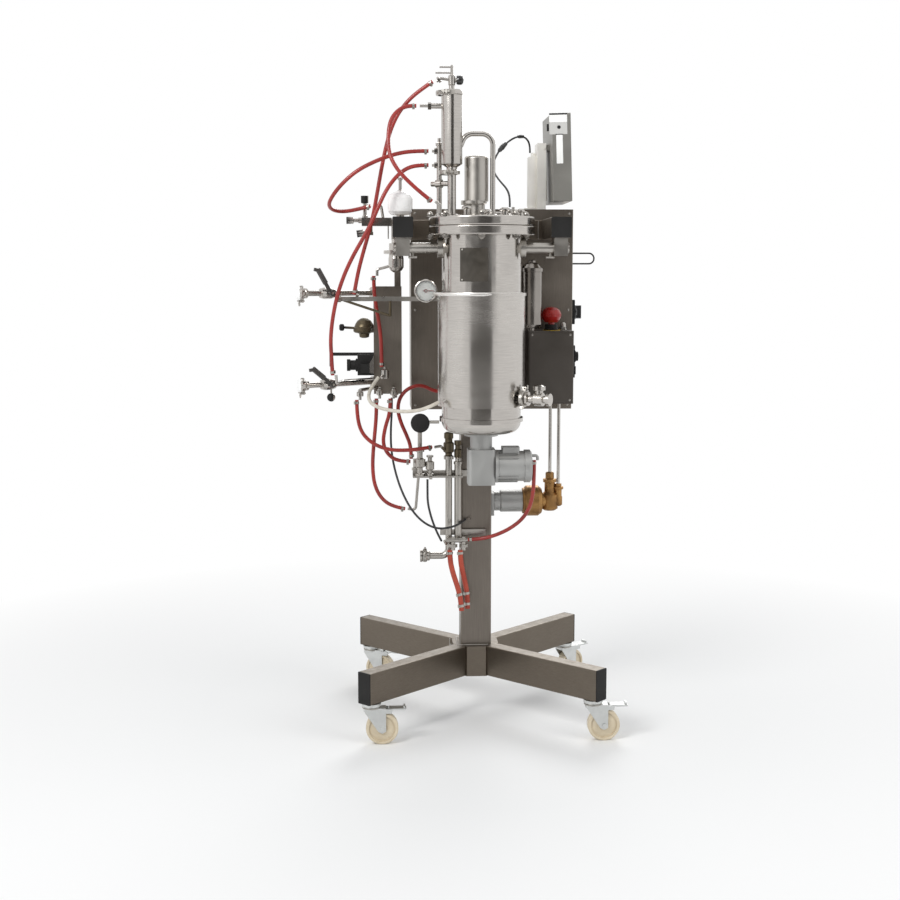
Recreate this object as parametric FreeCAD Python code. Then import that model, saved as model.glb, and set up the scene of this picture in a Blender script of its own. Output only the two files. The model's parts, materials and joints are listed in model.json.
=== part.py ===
"""Mobile pilot bioreactor: a steam-sterilisable steel vessel held in a fork on one column,
with its casters, lid gear, terminal, cabinet, valves and hoses.  Millimetres, +Z up.

The shapes are drawn about the foot of the column (x right, y to the back, z up from the floor)
and moved by COLUMN_X and COLUMN_Y when they are written, so that the frame's origin lies on the
floor under the middle of the unit.
"""
import FreeCAD, Part
import math
import os

Vector = FreeCAD.Vector
UP = Vector(0, 0, 1)
DOWN = Vector(0, 0, -1)
RIGHT = Vector(1, 0, 0)
LEFT = Vector(-1, 0, 0)
FRONT = Vector(0, -1, 0)
BACK = Vector(0, 1, 0)

# ---------------------------------------------------------------- driving dimensions
COLUMN_X = 60.0            # column axis in the part's frame
COLUMN_Y = -2.0

TOUCH = 0.3                # air between pieces of different bodies that only rest together
RUNNING = 0.05             # radial clearance of a shaft in its bore

# base and column
CASTER_HEIGHT = 130.0
LEG_REACH = 515.0          # column axis to a leg's open end
LEG_WIDTH = 50.0
LEG_HEIGHT = 100.0
LEG_WALL = 3.0
HUB_ACROSS = 150.0
HUB_WALL = 6.0
COLUMN_SIDE = 100.0
COLUMN_WALL = 4.0
COLUMN_ROUNDING = 6.0
COLUMN_TOP = 1551.0
CAP_THICKNESS = 4.0
CAP_DEPTH = 15.0
LEG_ANGLES = (45, 135, 225, 315)

# casters
CASTER_INSET = 28.0        # leg end back to the caster stem
CASTER_TRAIL = 33.0
WHEEL_RADIUS = 50.0
WHEEL_WIDTH = 30.0
AXLE_RADIUS = 5.0
STEM_RADIUS = 8.0
STEM_LENGTH = 20.0
HEAD_RADIUS = 30.0
FORK_PLATE = 3.0
FORK_SIDE_GAP = 1.5        # between a fork cheek and the wheel
PEDAL_PIVOT_RADIUS = 4.0
CASTER_HEADINGS = {225: 0, 315: 0, 45: 35, 135: -20}   # leg angle: trailing direction

# fork that holds the vessel
RAIL_SIDE = 62.0
RAIL_WALL = 3.0
RAIL_X = 240.0
RAIL_FRONT = 280.0         # column axis forward to the rail's open end

# vessel
VESSEL_FORWARD = 250.0     # column axis forward to the vessel axis
SHELL_RADIUS = 122.0
SHELL_WALL = 4.0
SHELL_BOTTOM = 956.0
SHELL_BOTTOM_ROUNDING = 34.0
FLANGE_RADIUS = 161.0
FLANGE_THICKNESS = 28.0
FLANGE_BOTTOM = 1557.0
LID_THICKNESS = 28.0
RIM_ROUNDING = 4.5         # outer edges of flange and lid
BASE_RING_RADIUS = 129.0
BASE_RING_HEIGHT = 12.0
BASE_RING_BOTTOM = 992.0
JACKET_RADIUS = 134.0
JACKET_WALL = 3.0
JACKET_BOTTOM = 1040.0
JACKET_TOP = 1385.0
JACKET_BEAD = 3.5
TRUNNION_RADIUS = 16.0
TRUNNION_HEIGHT = 1520.0
SADDLE_WIDTH = 42.0
SADDLE_DEPTH = 52.0
STAY_HEIGHT = 1120.0
STAY_WIDTH = 60.0
STAY_THICKNESS = 40.0

# stirrer and drive
SHAFT_RADIUS = 8.0
SHAFT_TOP = 1425.0
IMPELLER_HEIGHTS = (1050.0, 1200.0, 1350.0)
IMPELLER_RADIUS = 45.0
IMPELLER_DISC = 30.0
BLADE_HEIGHT = 18.0
BLADE_THICKNESS = 2.0
DRIVE_FLANGE_RADIUS = 52.0
GEARBOX_SIDE = 84.0
GEARBOX_TOP = 905.0
GEARBOX_BOTTOM = 795.0
MOTOR_RADIUS = 47.0
MOTOR_LENGTH = 92.0
COWL_RADIUS = 51.0
COWL_LENGTH = 22.0

# lid gear
BREAKER_X = -15.0          # foam breaker housing, from the vessel axis
BREAKER_Y = 20.0
BREAKER_RADIUS = 36.5
BREAKER_BOTTOM = 1661.0
BREAKER_TOP = 1796.0
CONDENSER_X = -91.0        # condenser, from the vessel axis
CONDENSER_RADIUS = 32.0
CONDENSER_BOTTOM = 1770.0
CONDENSER_TOP = 1989.0
CONDENSER_NECK = 13.0
VALVE_RISE = 29.0          # from the condenser's top to the middle of its valve
SPINDLE_LENGTH = 13.0
KNOB_RADIUS = 14.0
KNOB_PIN_RADIUS = 4.0
GOOSENECK_RADIUS = 8.0
GOOSENECK_X = 33.0
GOOSENECK_HEIGHT = 1815.0
RISER_X = -128.0
RISER_Y = 22.0             # from the vessel axis
RISER_RADIUS = 8.0

# cabinet side
CABINET_LEFT = -208.0
CABINET_RIGHT = 322.0
CABINET_BOTTOM = 1000.0
CABINET_TOP = 1651.0
CABINET_DEPTH = 180.0
SHEET = 2.0
TERMINAL_BOX_LEFT = 158.0
TERMINAL_BOX_RIGHT = 303.0
TERMINAL_BOX_BOTTOM = 1032.0
TERMINAL_BOX_TOP = 1263.0
TERMINAL_BOX_DEPTH = 180.0
FILTER_RADIUS = 32.0
FILTER_HEIGHT = 215.0
FILTER_FOOT_RADIUS = 11.0
FILTER_BEAD = 3.0
STOP_RADIUS = 32.0
STOP_TRAVEL = 6.0
STOP_STEM_RADIUS = 11.0
STOP_COLLAR_RADIUS = 20.0
STOP_COLLAR_HEIGHT = 19.0
POST_RADIUS = 19.0
BRACKET_WIDTH = 84.0
BRACKET_TOP = 1864.0
PANEL_HINGE_X = 226.0
PANEL_HINGE_Y = 110.0
PANEL_HINGE_HEIGHT = 1850.0
PANEL_PIN_RADIUS = 6.0
PANEL_THICKNESS = 60.0
PANEL_WIDTH = 250.0
PANEL_BOTTOM = 1672.0
PANEL_TOP = 1950.0
PANEL_GAP = 18.0           # hinge axis to the back of the terminal
PANEL_WALL = 4.0
PANEL_TILT = 1.8           # lean of the terminal at rest, top to the left
SWITCH_HEIGHT = 1318.0
SWITCH_RADIUS = 24.0

# pump and its pipes
PUMP_HEIGHT = 701.0
PUMP_MOTOR_RADIUS = 36.0
PUMP_MOTOR_LENGTH = 112.0
VOLUTE_RADIUS = 50.0
VOLUTE_WIDTH = 56.0
PUMP_PIPE_RADIUS = 5.5

# valve panel at the left
PANEL_PLATE_LEFT = -330.0
PANEL_PLATE_RIGHT = -240.0
PANEL_PLATE_BOTTOM = 1059.0
PANEL_PLATE_TOP = 1403.0
HANGER_WIDTH = 20.0        # the post that carries the plate
PANEL_PLATE_FRONT = 40.0   # column axis forward to the plate's face
PANEL_PLATE_DEPTH = 60.0
VALVE_AZIMUTH = 215.0      # the two outlet branches point left and to the front
VALVE_REACH = 285.0
VALVE_PIPE_RADIUS = 9.0
VENT_KNOB_RADIUS = 13.5
UPPER_VALVE_HEIGHT = 1382.0
LOWER_VALVE_HEIGHT = 1096.0
LEVER_SPINDLE = 4.0
LEVER_LENGTH = 88.0
HOSE_RAIL_HEIGHT = 1365.0
HOSE_RAIL_Y = -171.0
HOSE_RAIL_LEFT = -430.0
HOSE_RAIL_SECTION = (10.0, 14.0)
GAUGE_RADIUS = 36.0
GAUGE_DEPTH = 30.0
GAUGE_X = -168.0
GAUGE_HEIGHT = 1390.0
NEEDLE_PIN_RADIUS = 3.0

# lower pipework
RISE_LEFT_X = -91.0
RISE_RIGHT_X = -61.0
RISE_Y = -72.0
RISE_RADIUS = 11.0
MANIFOLD_HEIGHT = 800.0
DRAIN_HEIGHT = 534.0
POST_X = -184.0
KNOB_RISE = 171.0          # the setting valve above the manifold bar
KNOB_STEM_RADIUS = 5.0

# hoses and cables
HOSE_RADIUS = 6.0
DRAIN_HOSE_RADIUS = 8.5
BRAIDED_RADIUS = 5.5
CABLE_RADIUS = 3.5
TERMINAL_CABLE_RADIUS = 3.0

# ---------------------------------------------------------------- derived places
BASE_BOTTOM = CASTER_HEIGHT
CASTER_REACH = LEG_REACH - CASTER_INSET
BASE_TOP = BASE_BOTTOM + LEG_HEIGHT
VESSEL_Y = -VESSEL_FORWARD
KNOB_HEIGHT = MANIFOLD_HEIGHT + KNOB_RISE
FLANGE_TOP = FLANGE_BOTTOM + FLANGE_THICKNESS
LID_BOTTOM = FLANGE_TOP
LID_TOP = LID_BOTTOM + LID_THICKNESS
RAIL_TOP = COLUMN_TOP + RAIL_SIDE
CABINET_FRONT = COLUMN_SIDE / 2
CABINET_BACK = CABINET_FRONT + CABINET_DEPTH
TERMINAL_BOX_FRONT = CABINET_FRONT - TERMINAL_BOX_DEPTH
FILTER_X = TERMINAL_BOX_LEFT + FILTER_FOOT_RADIUS + 1
FILTER_Y = TERMINAL_BOX_FRONT + FILTER_RADIUS - 6
STOP_X = FILTER_X + FILTER_RADIUS + FILTER_BEAD + STOP_RADIUS + 1.5
STOP_Y = TERMINAL_BOX_FRONT + 70
BREAKER_AT = Vector(BREAKER_X, VESSEL_Y + BREAKER_Y, LID_TOP)
CONDENSER_AT = Vector(CONDENSER_X, VESSEL_Y, LID_TOP)
VALVE_WAY = Vector(math.cos(math.radians(VALVE_AZIMUTH)), math.sin(math.radians(VALVE_AZIMUTH)), 0)
SPINDLE_WAY = Vector(-VALVE_WAY.y, VALVE_WAY.x, 0)
VALVE_ROOT = (PANEL_PLATE_LEFT, -PANEL_PLATE_FRONT + PANEL_PLATE_DEPTH / 2)

# Free hoses and cables: the points that each one's smooth line follows, from end to end.
ROUTES = {
    "condenser_hose": (HOSE_RADIUS, [
        (-137, -250, 2014), (-171, -243, 1992), (-207, -234, 1964), (-240, -224, 1925),
        (-264, -217, 1876), (-280, -213, 1818), (-293, -211, 1756), (-305, -209, 1690),
        (-318, -205, 1620), (-334, -201, 1560), (-352, -193, 1500), (-368, -182, 1440),
        (-379, -171, 1380)]),
    "return_hose": (HOSE_RADIUS, [
        (-187, -250, 1942), (-208, -250, 1942), (-229, -253, 1936), (-247, -257, 1923.5),
        (-260, -261, 1906), (-268, -266, 1885), (-272, -273, 1852), (-272, -283, 1817),
        (-264, -293, 1782), (-243, -301, 1747), (-214, -305, 1716), (-178, -304, 1684),
        (-143, -300, 1657)]),
    "inlet_hose": (HOSE_RADIUS, [
        (-150, -228, 1811), (-198, -228, 1811), (-252, -240, 1801), (-308, -250, 1780),
        (-364, -252, 1752), (-408, -246, 1716), (-441, -226, 1678), (-456, -186, 1651),
        (-443, -142, 1637), (-412, -112, 1634), (-370, -104, 1641), (-326, -112, 1652)]),
    "supply_hose": (HOSE_RADIUS, [
        (-150, -228, 1769), (-186, -228, 1769), (-222, -242, 1756), (-253, -257, 1728),
        (-280, -267, 1690), (-301, -271, 1646), (-322, -270, 1598), (-348, -265, 1550),
        (-377, -257, 1502), (-404, -248, 1448), (-427, -239, 1386), (-443, -228, 1318),
        (-452, -216, 1248), (-450, -207, 1188), (-447, -201, 1131)]),
    "panel_hose": (HOSE_RADIUS, [
        (-318, -92, 1436), (-318, -92, 1388), (-309, -97, 1326), (-298, -102, 1262),
        (-295, -104, 1198), (-295, -104, 1150)]),
    "braided_hose": (BRAIDED_RADIUS, [
        (-306, -121, 1117), (-324, -149, 1095), (-337, -188, 1071), (-334, -232, 1051),
        (-312, -272, 1038), (-276, -306, 1031), (-232, -328, 1028), (-186, -338, 1032),
        (-150, -334, 1044), (-124, -322, 1056)]),
    "lower_hose": (HOSE_RADIUS, [
        (-374, -122, 1047), (-374, -122, 998), (-361, -128, 944), (-325, -132, 908),
        (-276, -134, 889), (-222, -132, 886), (-171, -122, 890), (-137, -104, 893)]),
    "inner_hose": (HOSE_RADIUS, [
        (-268, -78, 1047), (-268, -78, 1004), (-285, -79, 954), (-293, -80, 904),
        (-277, -80, 867), (-244, -80, 845), (-204, -80, 844)]),
    "loop_hose": (HOSE_RADIUS, [
        (-312, -74, 1047), (-312, -74, 1000), (-317, -82, 944), (-323, -94, 886),
        (-326, -104, 828), (-320, -110, 772), (-298, -108, 728), (-262, -98, 701),
        (-223, -88, 692)]),
    "arch_hose": (HOSE_RADIUS, [
        (-201, -56, 850), (-201, -56, 888), (-216, -56, 928), (-234, -54, 967), (-245, -50, 1010),
        (-236, -44, 1051), (-205, -35, 1080), (-162, -22, 1086), (-119, 0, 1060), (-71, 0, 1060)]),
    "cross_hose": (HOSE_RADIUS, [
        (176, -250, 868), (176, -250, 820), (175, -240, 766), (168, -218, 716),
        (148, -186, 672), (114, -150, 636), (70, -118, 608), (24, -97, 592), (-20, -96, 590)]),
    "drain_hose_left": (DRAIN_HOSE_RADIUS, [
        (-78, -96, 556), (-78, -96, 523), (-68, -102, 480), (-53, -109, 436),
        (-43, -111, 394), (-41, -111, 360)]),
    "drain_hose_right": (DRAIN_HOSE_RADIUS, [
        (-44, -96, 556), (-44, -96, 522), (-35, -90, 478), (-25, -84, 434),
        (-20, -81, 394), (-20, -81, 360)]),
    "long_cable": (CABLE_RADIUS, [
        (-262, -18, 1045), (-262, -18, 1001), (-266, -24, 945), (-266, -38, 884),
        (-256, -62, 820), (-236, -94, 756), (-205, -124, 696), (-165, -141, 654),
        (-120, -142, 634), (-77, -128, 636), (-44, -102, 644), (-26, -58.0, 650)]),
    "short_cable": (CABLE_RADIUS, [
        (-150, -96, 788), (-150, -96, 755), (-150, -106, 715), (-141, -114, 674),
        (-128, -114, 636), (-115, -104, 606), (-105, -90, 586)]),
    "terminal_cable": (TERMINAL_CABLE_RADIUS, [
        (196, 110, 1836), (196, 110, 1858), (187, 99, 1878), (168, 80, 1887), (141, 56, 1881),
        (113, 28, 1862), (88, -4, 1837), (69, -40, 1809), (59, -80, 1782), (58, -118, 1759),
        (65, -156, 1738), (76, -192, 1719), (87, -222, 1702), (94, -241, 1684), (96, -250, 1664),
        (96, -250, 1643)]),
}


# ---------------------------------------------------------------- helpers
def span(x, y, z):
    """A box from three (low, high) pairs."""
    return Part.makeBox(x[1] - x[0], y[1] - y[0], z[1] - z[0], Vector(x[0], y[0], z[0]))


def rod(start, end, radius):
    """A round bar from start to end."""
    way = end - start
    return Part.makeCylinder(radius, way.Length, start, way)


def turned(outline, foot, way=UP):
    """A solid turned about the line from foot along way; outline holds (radius, height) pairs."""
    points = [Vector(0, 0, outline[0][1])] if outline[0][0] > 0 else []
    points += [Vector(r, 0, h) for r, h in outline]
    if outline[-1][0] > 0:
        points.append(Vector(0, 0, outline[-1][1]))
    points.append(points[0])
    solid = Part.Face(Part.makePolygon(points)).revolve(Vector(0, 0, 0), UP, 360)
    solid.Placement = FreeCAD.Placement(foot, FreeCAD.Rotation(UP, way))
    return solid


def ring(inner, outer, bottom, top, at):
    """A round ring about a vertical line through at."""
    whole = Part.makeCylinder(outer, top - bottom, Vector(at.x, at.y, bottom))
    return whole.cut(Part.makeCylinder(inner, top - bottom, Vector(at.x, at.y, bottom)))


def joined(shapes):
    """One solid from touching or overlapping shapes."""
    whole = shapes[0]
    if len(shapes) > 1:
        whole = shapes[0].fuse(shapes[1:])
    return whole.removeSplitter()


def edges_along(shape, way):
    """The straight edges that run along way."""
    found = []
    for edge in shape.Edges:
        if isinstance(edge.Curve, Part.Line):
            run = edge.Vertexes[1].Point - edge.Vertexes[0].Point
            if abs(abs(run.normalize().dot(way)) - 1) < 1e-6:
                found.append(edge)
    return found


def rounded_box(x, y, z, radius, way=UP):
    """A box whose edges along way are rounded."""
    body = span(x, y, z)
    return body.makeFillet(radius, edges_along(body, way))


def round_rims(shape, radius, height):
    """Round the circular edges that lie at one height."""
    rims = [e for e in shape.Edges
            if isinstance(e.Curve, Part.Circle) and abs(e.Curve.Center.z - height) < 1e-6
            and abs(abs(e.Curve.Axis.z) - 1) < 1e-6]
    return shape.makeFillet(radius, rims)


def hexagon(at, way, across, height):
    """A hexagonal nut or head standing on at along way."""
    corner = across / math.sqrt(3)
    points = [Vector(corner * math.cos(math.radians(a)), corner * math.sin(math.radians(a)), 0)
              for a in range(0, 361, 60)]
    body = Part.Face(Part.makePolygon(points)).extrude(UP * height)
    body.Placement = FreeCAD.Placement(at, FreeCAD.Rotation(UP, way))
    return body


def bent_wire(points, radii):
    """Straight runs joined by tangent arcs; radii has one value for each inner point."""
    edges = []
    here = points[0]
    for i in range(1, len(points) - 1):
        corner = points[i]
        u = (corner - points[i - 1]).normalize()
        v = (points[i + 1] - corner).normalize()
        half = math.acos(max(-1.0, min(1.0, u.dot(v)))) / 2
        reach = radii[i - 1] * math.tan(half)
        start = corner - u * reach
        end = corner + v * reach
        inward = (v - u).normalize()
        middle = corner + inward * (radii[i - 1] / math.cos(half) - radii[i - 1])
        edges.append(Part.LineSegment(here, start).toShape())
        edges.append(Part.Arc(start, middle, end).toShape())
        here = end
    edges.append(Part.LineSegment(here, points[-1]).toShape())
    return Part.Wire(edges)


def sweep(wire, start, way, radius):
    """A round bar along a wire."""
    section = Part.Wire(Part.makeCircle(radius, start, way))
    return wire.makePipeShell([section], True, False)


def bent_rod(points, radius, bend):
    """A round bar with the same bend radius at every corner."""
    wire = bent_wire(points, [bend] * (len(points) - 2))
    return sweep(wire, points[0], points[1] - points[0], radius)


def hose(name):
    """One free hose or cable: arcs as large as its runs allow."""
    radius, places = ROUTES[name]
    points = [Vector(*p) for p in places]
    runs = [(b - a).Length for a, b in zip(points, points[1:])]
    radii = []
    for i in range(1, len(points) - 1):
        u = (points[i] - points[i - 1]).normalize()
        v = (points[i + 1] - points[i]).normalize()
        half = math.acos(max(-1.0, min(1.0, u.dot(v)))) / 2
        radii.append(0.45 * min(runs[i - 1], runs[i]) / math.tan(half))
    wire = bent_wire(points, radii)
    tube = sweep(wire, points[0], points[1] - points[0], radius)
    expected = math.pi * radius ** 2 * wire.Length
    print(f"{name}: length {wire.Length:.0f} mm, volume ratio {tube.Volume / expected:.4f}, "
          f"radii {[round(r) for r in radii]}, runs {[round(r) for r in runs]}")
    return tube


def route_end(name, last=False):
    """The end point of a hose and the unit vector that leaves it there, away from the hose."""
    places = [Vector(*p) for p in ROUTES[name][1]]
    if last:
        places.reverse()
    return places[0], (places[0] - places[1]).normalize()


def around(shape, angle, at=Vector(0, 0, 0), axis=UP):
    """A copy turned by angle degrees."""
    copy = shape.copy()
    copy.rotate(at, axis, angle)
    return copy


# ---------------------------------------------------------------- base, column and fork
def square_tube(x, y, z, wall, way, rounding):
    """A rectangular tube with rounded corners, open along way."""
    outer = rounded_box(x, y, z, rounding, way)
    shrink = [wall * (1 - abs(c)) for c in (way.x, way.y, way.z)]
    inner = span(*[(lo + s, hi - s) for (lo, hi), s in zip((x, y, z), shrink)])
    return outer.cut(inner)


def base_frame():
    """The welded cross: a hub and four legs, each with a caster stem under its end."""
    flat = HUB_ACROSS / 2
    corner = flat / math.cos(math.pi / 8)
    outline = [Vector(corner * math.cos(math.pi / 8 + k * math.pi / 4),
                      corner * math.sin(math.pi / 8 + k * math.pi / 4), BASE_BOTTOM)
               for k in range(9)]
    hub = Part.Face(Part.makePolygon(outline)).extrude(UP * LEG_HEIGHT)
    hollow = Part.makeCylinder(flat - HUB_WALL, LEG_HEIGHT - 2 * HUB_WALL,
                               Vector(0, 0, BASE_BOTTOM + HUB_WALL))
    pieces = [hub.cut(hollow)]
    leg = square_tube((flat, LEG_REACH), (-LEG_WIDTH / 2, LEG_WIDTH / 2), (BASE_BOTTOM, BASE_TOP),
                      LEG_WALL, RIGHT, LEG_WALL)
    at = Vector(CASTER_REACH, 0, BASE_BOTTOM)
    stem = rod(at, at + DOWN * STEM_LENGTH, STEM_RADIUS)
    return pieces + [around(piece, a) for piece in (leg, stem) for a in LEG_ANGLES]


def end_cap(width, height, wall):
    """A tube's end cap lying on the plane x = 0, with its plug on the negative side."""
    plate = rounded_box((0, CAP_THICKNESS), (-width / 2, width / 2), (-height / 2, height / 2),
                        wall, RIGHT)
    inset = wall + TOUCH
    plug = span((-CAP_DEPTH, 0), (inset - width / 2, width / 2 - inset),
                (inset - height / 2, height / 2 - inset))
    return joined([plate, plug])


def end_caps():
    """Caps of the four legs and of the two rails."""
    caps = []
    for angle in LEG_ANGLES:
        cap = end_cap(LEG_WIDTH, LEG_HEIGHT, LEG_WALL)
        cap.translate(Vector(LEG_REACH, 0, BASE_BOTTOM + LEG_HEIGHT / 2))
        caps.append(around(cap, angle))
    for side in (-1, 1):
        cap = around(end_cap(RAIL_SIDE, RAIL_SIDE, RAIL_WALL), -90)
        cap.translate(Vector(side * RAIL_X, -RAIL_FRONT, COLUMN_TOP + RAIL_SIDE / 2))
        caps.append(cap)
    return caps


def column():
    """Square column with the gland of the long cable and a hose tail on its left face."""
    half = COLUMN_SIDE / 2
    tube = square_tube((-half, half), (-half, half), (BASE_TOP, COLUMN_TOP), COLUMN_WALL, UP,
                       COLUMN_ROUNDING)
    end, way = route_end("long_cable", last=True)
    root = end + way * 8
    gland = joined([hexagon(Vector(root.x, -half, root.z), FRONT, 17, 4), rod(end, root, 6)])
    arch, _ = route_end("arch_hose", last=True)
    seat = Vector(-half, arch.y, arch.z)
    tail = joined([hexagon(seat, LEFT, 17, 7), rod(arch, seat, 4.5)])
    return [joined([tube, gland, tail])]


def support_fork():
    """The cross beam on the column and the two rails that reach forward past the vessel."""
    half = RAIL_SIDE / 2
    beam = square_tube((-RAIL_X - half, RAIL_X + half), (-half, half), (COLUMN_TOP, RAIL_TOP),
                       RAIL_WALL, RIGHT, RAIL_WALL)
    ends = [span((x, x + RAIL_WALL), (RAIL_WALL - half, half - RAIL_WALL),
                 (COLUMN_TOP + RAIL_WALL, RAIL_TOP - RAIL_WALL))
            for x in (-RAIL_X - half, RAIL_X + half - RAIL_WALL)]
    rails = [square_tube((side * RAIL_X - half, side * RAIL_X + half), (-RAIL_FRONT, -half),
                         (COLUMN_TOP, RAIL_TOP), RAIL_WALL, FRONT, RAIL_WALL)
             for side in (-1, 1)]
    return [joined([beam] + ends)] + rails


# ---------------------------------------------------------------- casters
def caster_places():
    """Swivel axis and trailing direction of each caster."""
    places = []
    for angle in sorted(CASTER_HEADINGS):
        turn = math.radians(angle)
        at = Vector(CASTER_REACH * math.cos(turn), CASTER_REACH * math.sin(turn), 0)
        places.append((at, CASTER_HEADINGS[angle]))
    return places


def caster_fork():
    """Swivel head, crown and cheeks, drawn about the swivel axis and trailing to +x."""
    top = BASE_BOTTOM - TOUCH
    head = turned([(HEAD_RADIUS, top), (HEAD_RADIUS, top - 8), (HEAD_RADIUS - 5, top - 14),
                   (HEAD_RADIUS - 5, top - 20)], Vector(0, 0, 0))
    crown_top = top - 14
    crown_bottom = 2 * WHEEL_RADIUS + 6
    inside = WHEEL_WIDTH / 2 + FORK_SIDE_GAP
    outside = inside + FORK_PLATE
    crown = rounded_box((-HEAD_RADIUS + 6, CASTER_TRAIL + 12), (-outside, outside),
                        (crown_bottom, crown_top), 6)
    cheeks = []
    for side in (-1, 1):
        y = sorted((side * inside, side * outside))
        outline = [Vector(-HEAD_RADIUS + 8, y[0], crown_bottom),
                   Vector(CASTER_TRAIL - 12, y[0], WHEEL_RADIUS - 8),
                   Vector(CASTER_TRAIL, y[0], WHEEL_RADIUS - 14),
                   Vector(CASTER_TRAIL + 12, y[0], WHEEL_RADIUS - 8),
                   Vector(CASTER_TRAIL + 12, y[0], crown_bottom),
                   Vector(-HEAD_RADIUS + 8, y[0], crown_bottom)]
        cheeks.append(Part.Face(Part.makePolygon(outline)).extrude(BACK * FORK_PLATE))
    axle_at = Vector(CASTER_TRAIL, 0, WHEEL_RADIUS)
    axle = rod(axle_at + FRONT * (outside + 4), axle_at + BACK * (outside + 4), AXLE_RADIUS)
    nuts = [hexagon(axle_at + BACK * (side * outside), BACK * side, 13, 4) for side in (-1, 1)]
    pivot_at = pedal_pivot()
    pivot = rod(pivot_at + FRONT * outside, pivot_at + BACK * outside, PEDAL_PIVOT_RADIUS)
    ear = [span((CASTER_TRAIL + 6, pivot_at.x + PEDAL_PIVOT_RADIUS + 3),
                tuple(sorted((side * inside, side * outside))),
                (pivot_at.z - 7, pivot_at.z + 7)) for side in (-1, 1)]
    body = joined([head, crown, axle, pivot] + cheeks + nuts + ear)
    bore = rod(Vector(0, 0, crown_bottom - 1), Vector(0, 0, top + 1), STEM_RADIUS + RUNNING)
    return body.cut(bore)


def pedal_pivot():
    return Vector(CASTER_TRAIL + 24, 0, 2 * WHEEL_RADIUS + 6)


def caster_wheel():
    """Wheel with a stepped hub, about the axle at the trailing place."""
    half = WHEEL_WIDTH / 2
    hub = half + FORK_SIDE_GAP - TOUCH
    rim = WHEEL_RADIUS - 9
    wheel = turned([(15, -hub), (15, -half + 5), (rim, -half + 5), (rim, -half),
                    (WHEEL_RADIUS - 3, -half), (WHEEL_RADIUS, -half + 3), (WHEEL_RADIUS, half - 3),
                    (WHEEL_RADIUS - 3, half), (rim, half), (rim, half - 5), (15, half - 5),
                    (15, hub)], Vector(CASTER_TRAIL, 0, WHEEL_RADIUS), BACK)
    reach = BACK * (hub + 1)
    at = Vector(CASTER_TRAIL, 0, WHEEL_RADIUS)
    return wheel.cut(rod(at - reach, at + reach, AXLE_RADIUS + RUNNING))


def caster_pedal():
    """Brake pedal on its pivot behind the wheel."""
    at = pedal_pivot()
    half = WHEEL_WIDTH / 2 + FORK_SIDE_GAP - 2 * TOUCH
    hub = rod(at + FRONT * half, at + BACK * half, PEDAL_PIVOT_RADIUS + 4)
    plate = rounded_box((at.x, at.x + 50), (-half, half), (at.z + 3, at.z + 8), 4, UP)
    lip = span((at.x + 42, at.x + 47), (4 - half, half - 4), (at.z + 3, at.z + 15))
    body = joined([hub, plate, lip])
    return body.cut(rod(at + FRONT * (half + 1), at + BACK * (half + 1),
                        PEDAL_PIVOT_RADIUS + RUNNING))


def at_caster(shape, place, heading):
    moved = around(shape, heading)
    moved.translate(place)
    return moved


# ---------------------------------------------------------------- vessel
def rim_disc(bottom, top):
    """A disc as wide as the head flange, with rounded rims."""
    disc = Part.makeCylinder(FLANGE_RADIUS, top - bottom, Vector(0, VESSEL_Y, bottom))
    return round_rims(round_rims(disc, RIM_ROUNDING, bottom), RIM_ROUNDING, top)


def vessel_shell():
    """Rounded bottom, straight wall, head flange, base ring and baffles, in one weldment."""
    foot = Vector(0, VESSEL_Y, SHELL_BOTTOM)
    height = FLANGE_TOP - SHELL_BOTTOM
    outer = round_rims(Part.makeCylinder(SHELL_RADIUS, height, foot), SHELL_BOTTOM_ROUNDING,
                       SHELL_BOTTOM)
    inner = round_rims(Part.makeCylinder(SHELL_RADIUS - SHELL_WALL, height, foot + UP * SHELL_WALL),
                       SHELL_BOTTOM_ROUNDING - SHELL_WALL, SHELL_BOTTOM + SHELL_WALL)
    opening = Part.makeCylinder(SHELL_RADIUS, FLANGE_THICKNESS, foot + UP * (FLANGE_BOTTOM - SHELL_BOTTOM))
    flange = rim_disc(FLANGE_BOTTOM, FLANGE_TOP).cut(opening)
    base_ring = ring(SHELL_RADIUS, BASE_RING_RADIUS, BASE_RING_BOTTOM,
                     BASE_RING_BOTTOM + BASE_RING_HEIGHT, foot)
    baffles = []
    for k in range(4):
        baffle = span((SHELL_RADIUS - SHELL_WALL - 20, SHELL_RADIUS - 1), (VESSEL_Y - 1.5,
                      VESSEL_Y + 1.5), (SHELL_BOTTOM + 70, SHAFT_TOP))
        baffles.append(around(baffle, 45 + 90 * k, foot))
    bore = rod(foot + DOWN, foot + UP * (SHELL_WALL + 1), SHAFT_RADIUS + RUNNING)
    wall = outer.cut(inner).cut(bore)
    seam = Part.makeCylinder(SHELL_RADIUS + 10, SHELL_BOTTOM_ROUNDING + 11, foot + DOWN * 10)
    bottom = wall.common(seam)
    straight = wall.cut(seam)
    return [straight, bottom, flange, base_ring] + [baffle.cut(wall) for baffle in baffles]


def vessel_jacket():
    """Hollow heating jacket round the shell, with a bead at its top and its water inlet."""
    at = Vector(0, VESSEL_Y, 0)
    outer = ring(SHELL_RADIUS, JACKET_RADIUS, JACKET_BOTTOM, JACKET_TOP, at)
    space = ring(SHELL_RADIUS, JACKET_RADIUS - JACKET_WALL, JACKET_BOTTOM + JACKET_WALL,
                 JACKET_TOP - JACKET_WALL, at)
    bead = ring(SHELL_RADIUS, JACKET_RADIUS + JACKET_BEAD, JACKET_TOP - 9, JACKET_TOP, at)
    place, way = route_end("braided_hose", last=True)
    core = Part.makeCylinder(JACKET_RADIUS - JACKET_WALL / 2, JACKET_TOP, at)
    inlet = rod(place, place + way * 60, BRAIDED_RADIUS).cut(core)
    nearest = min(inlet.Solids, key=lambda s: s.CenterOfMass.distanceToPoint(place))
    return [joined([outer.cut(space), bead, nearest])]


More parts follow.
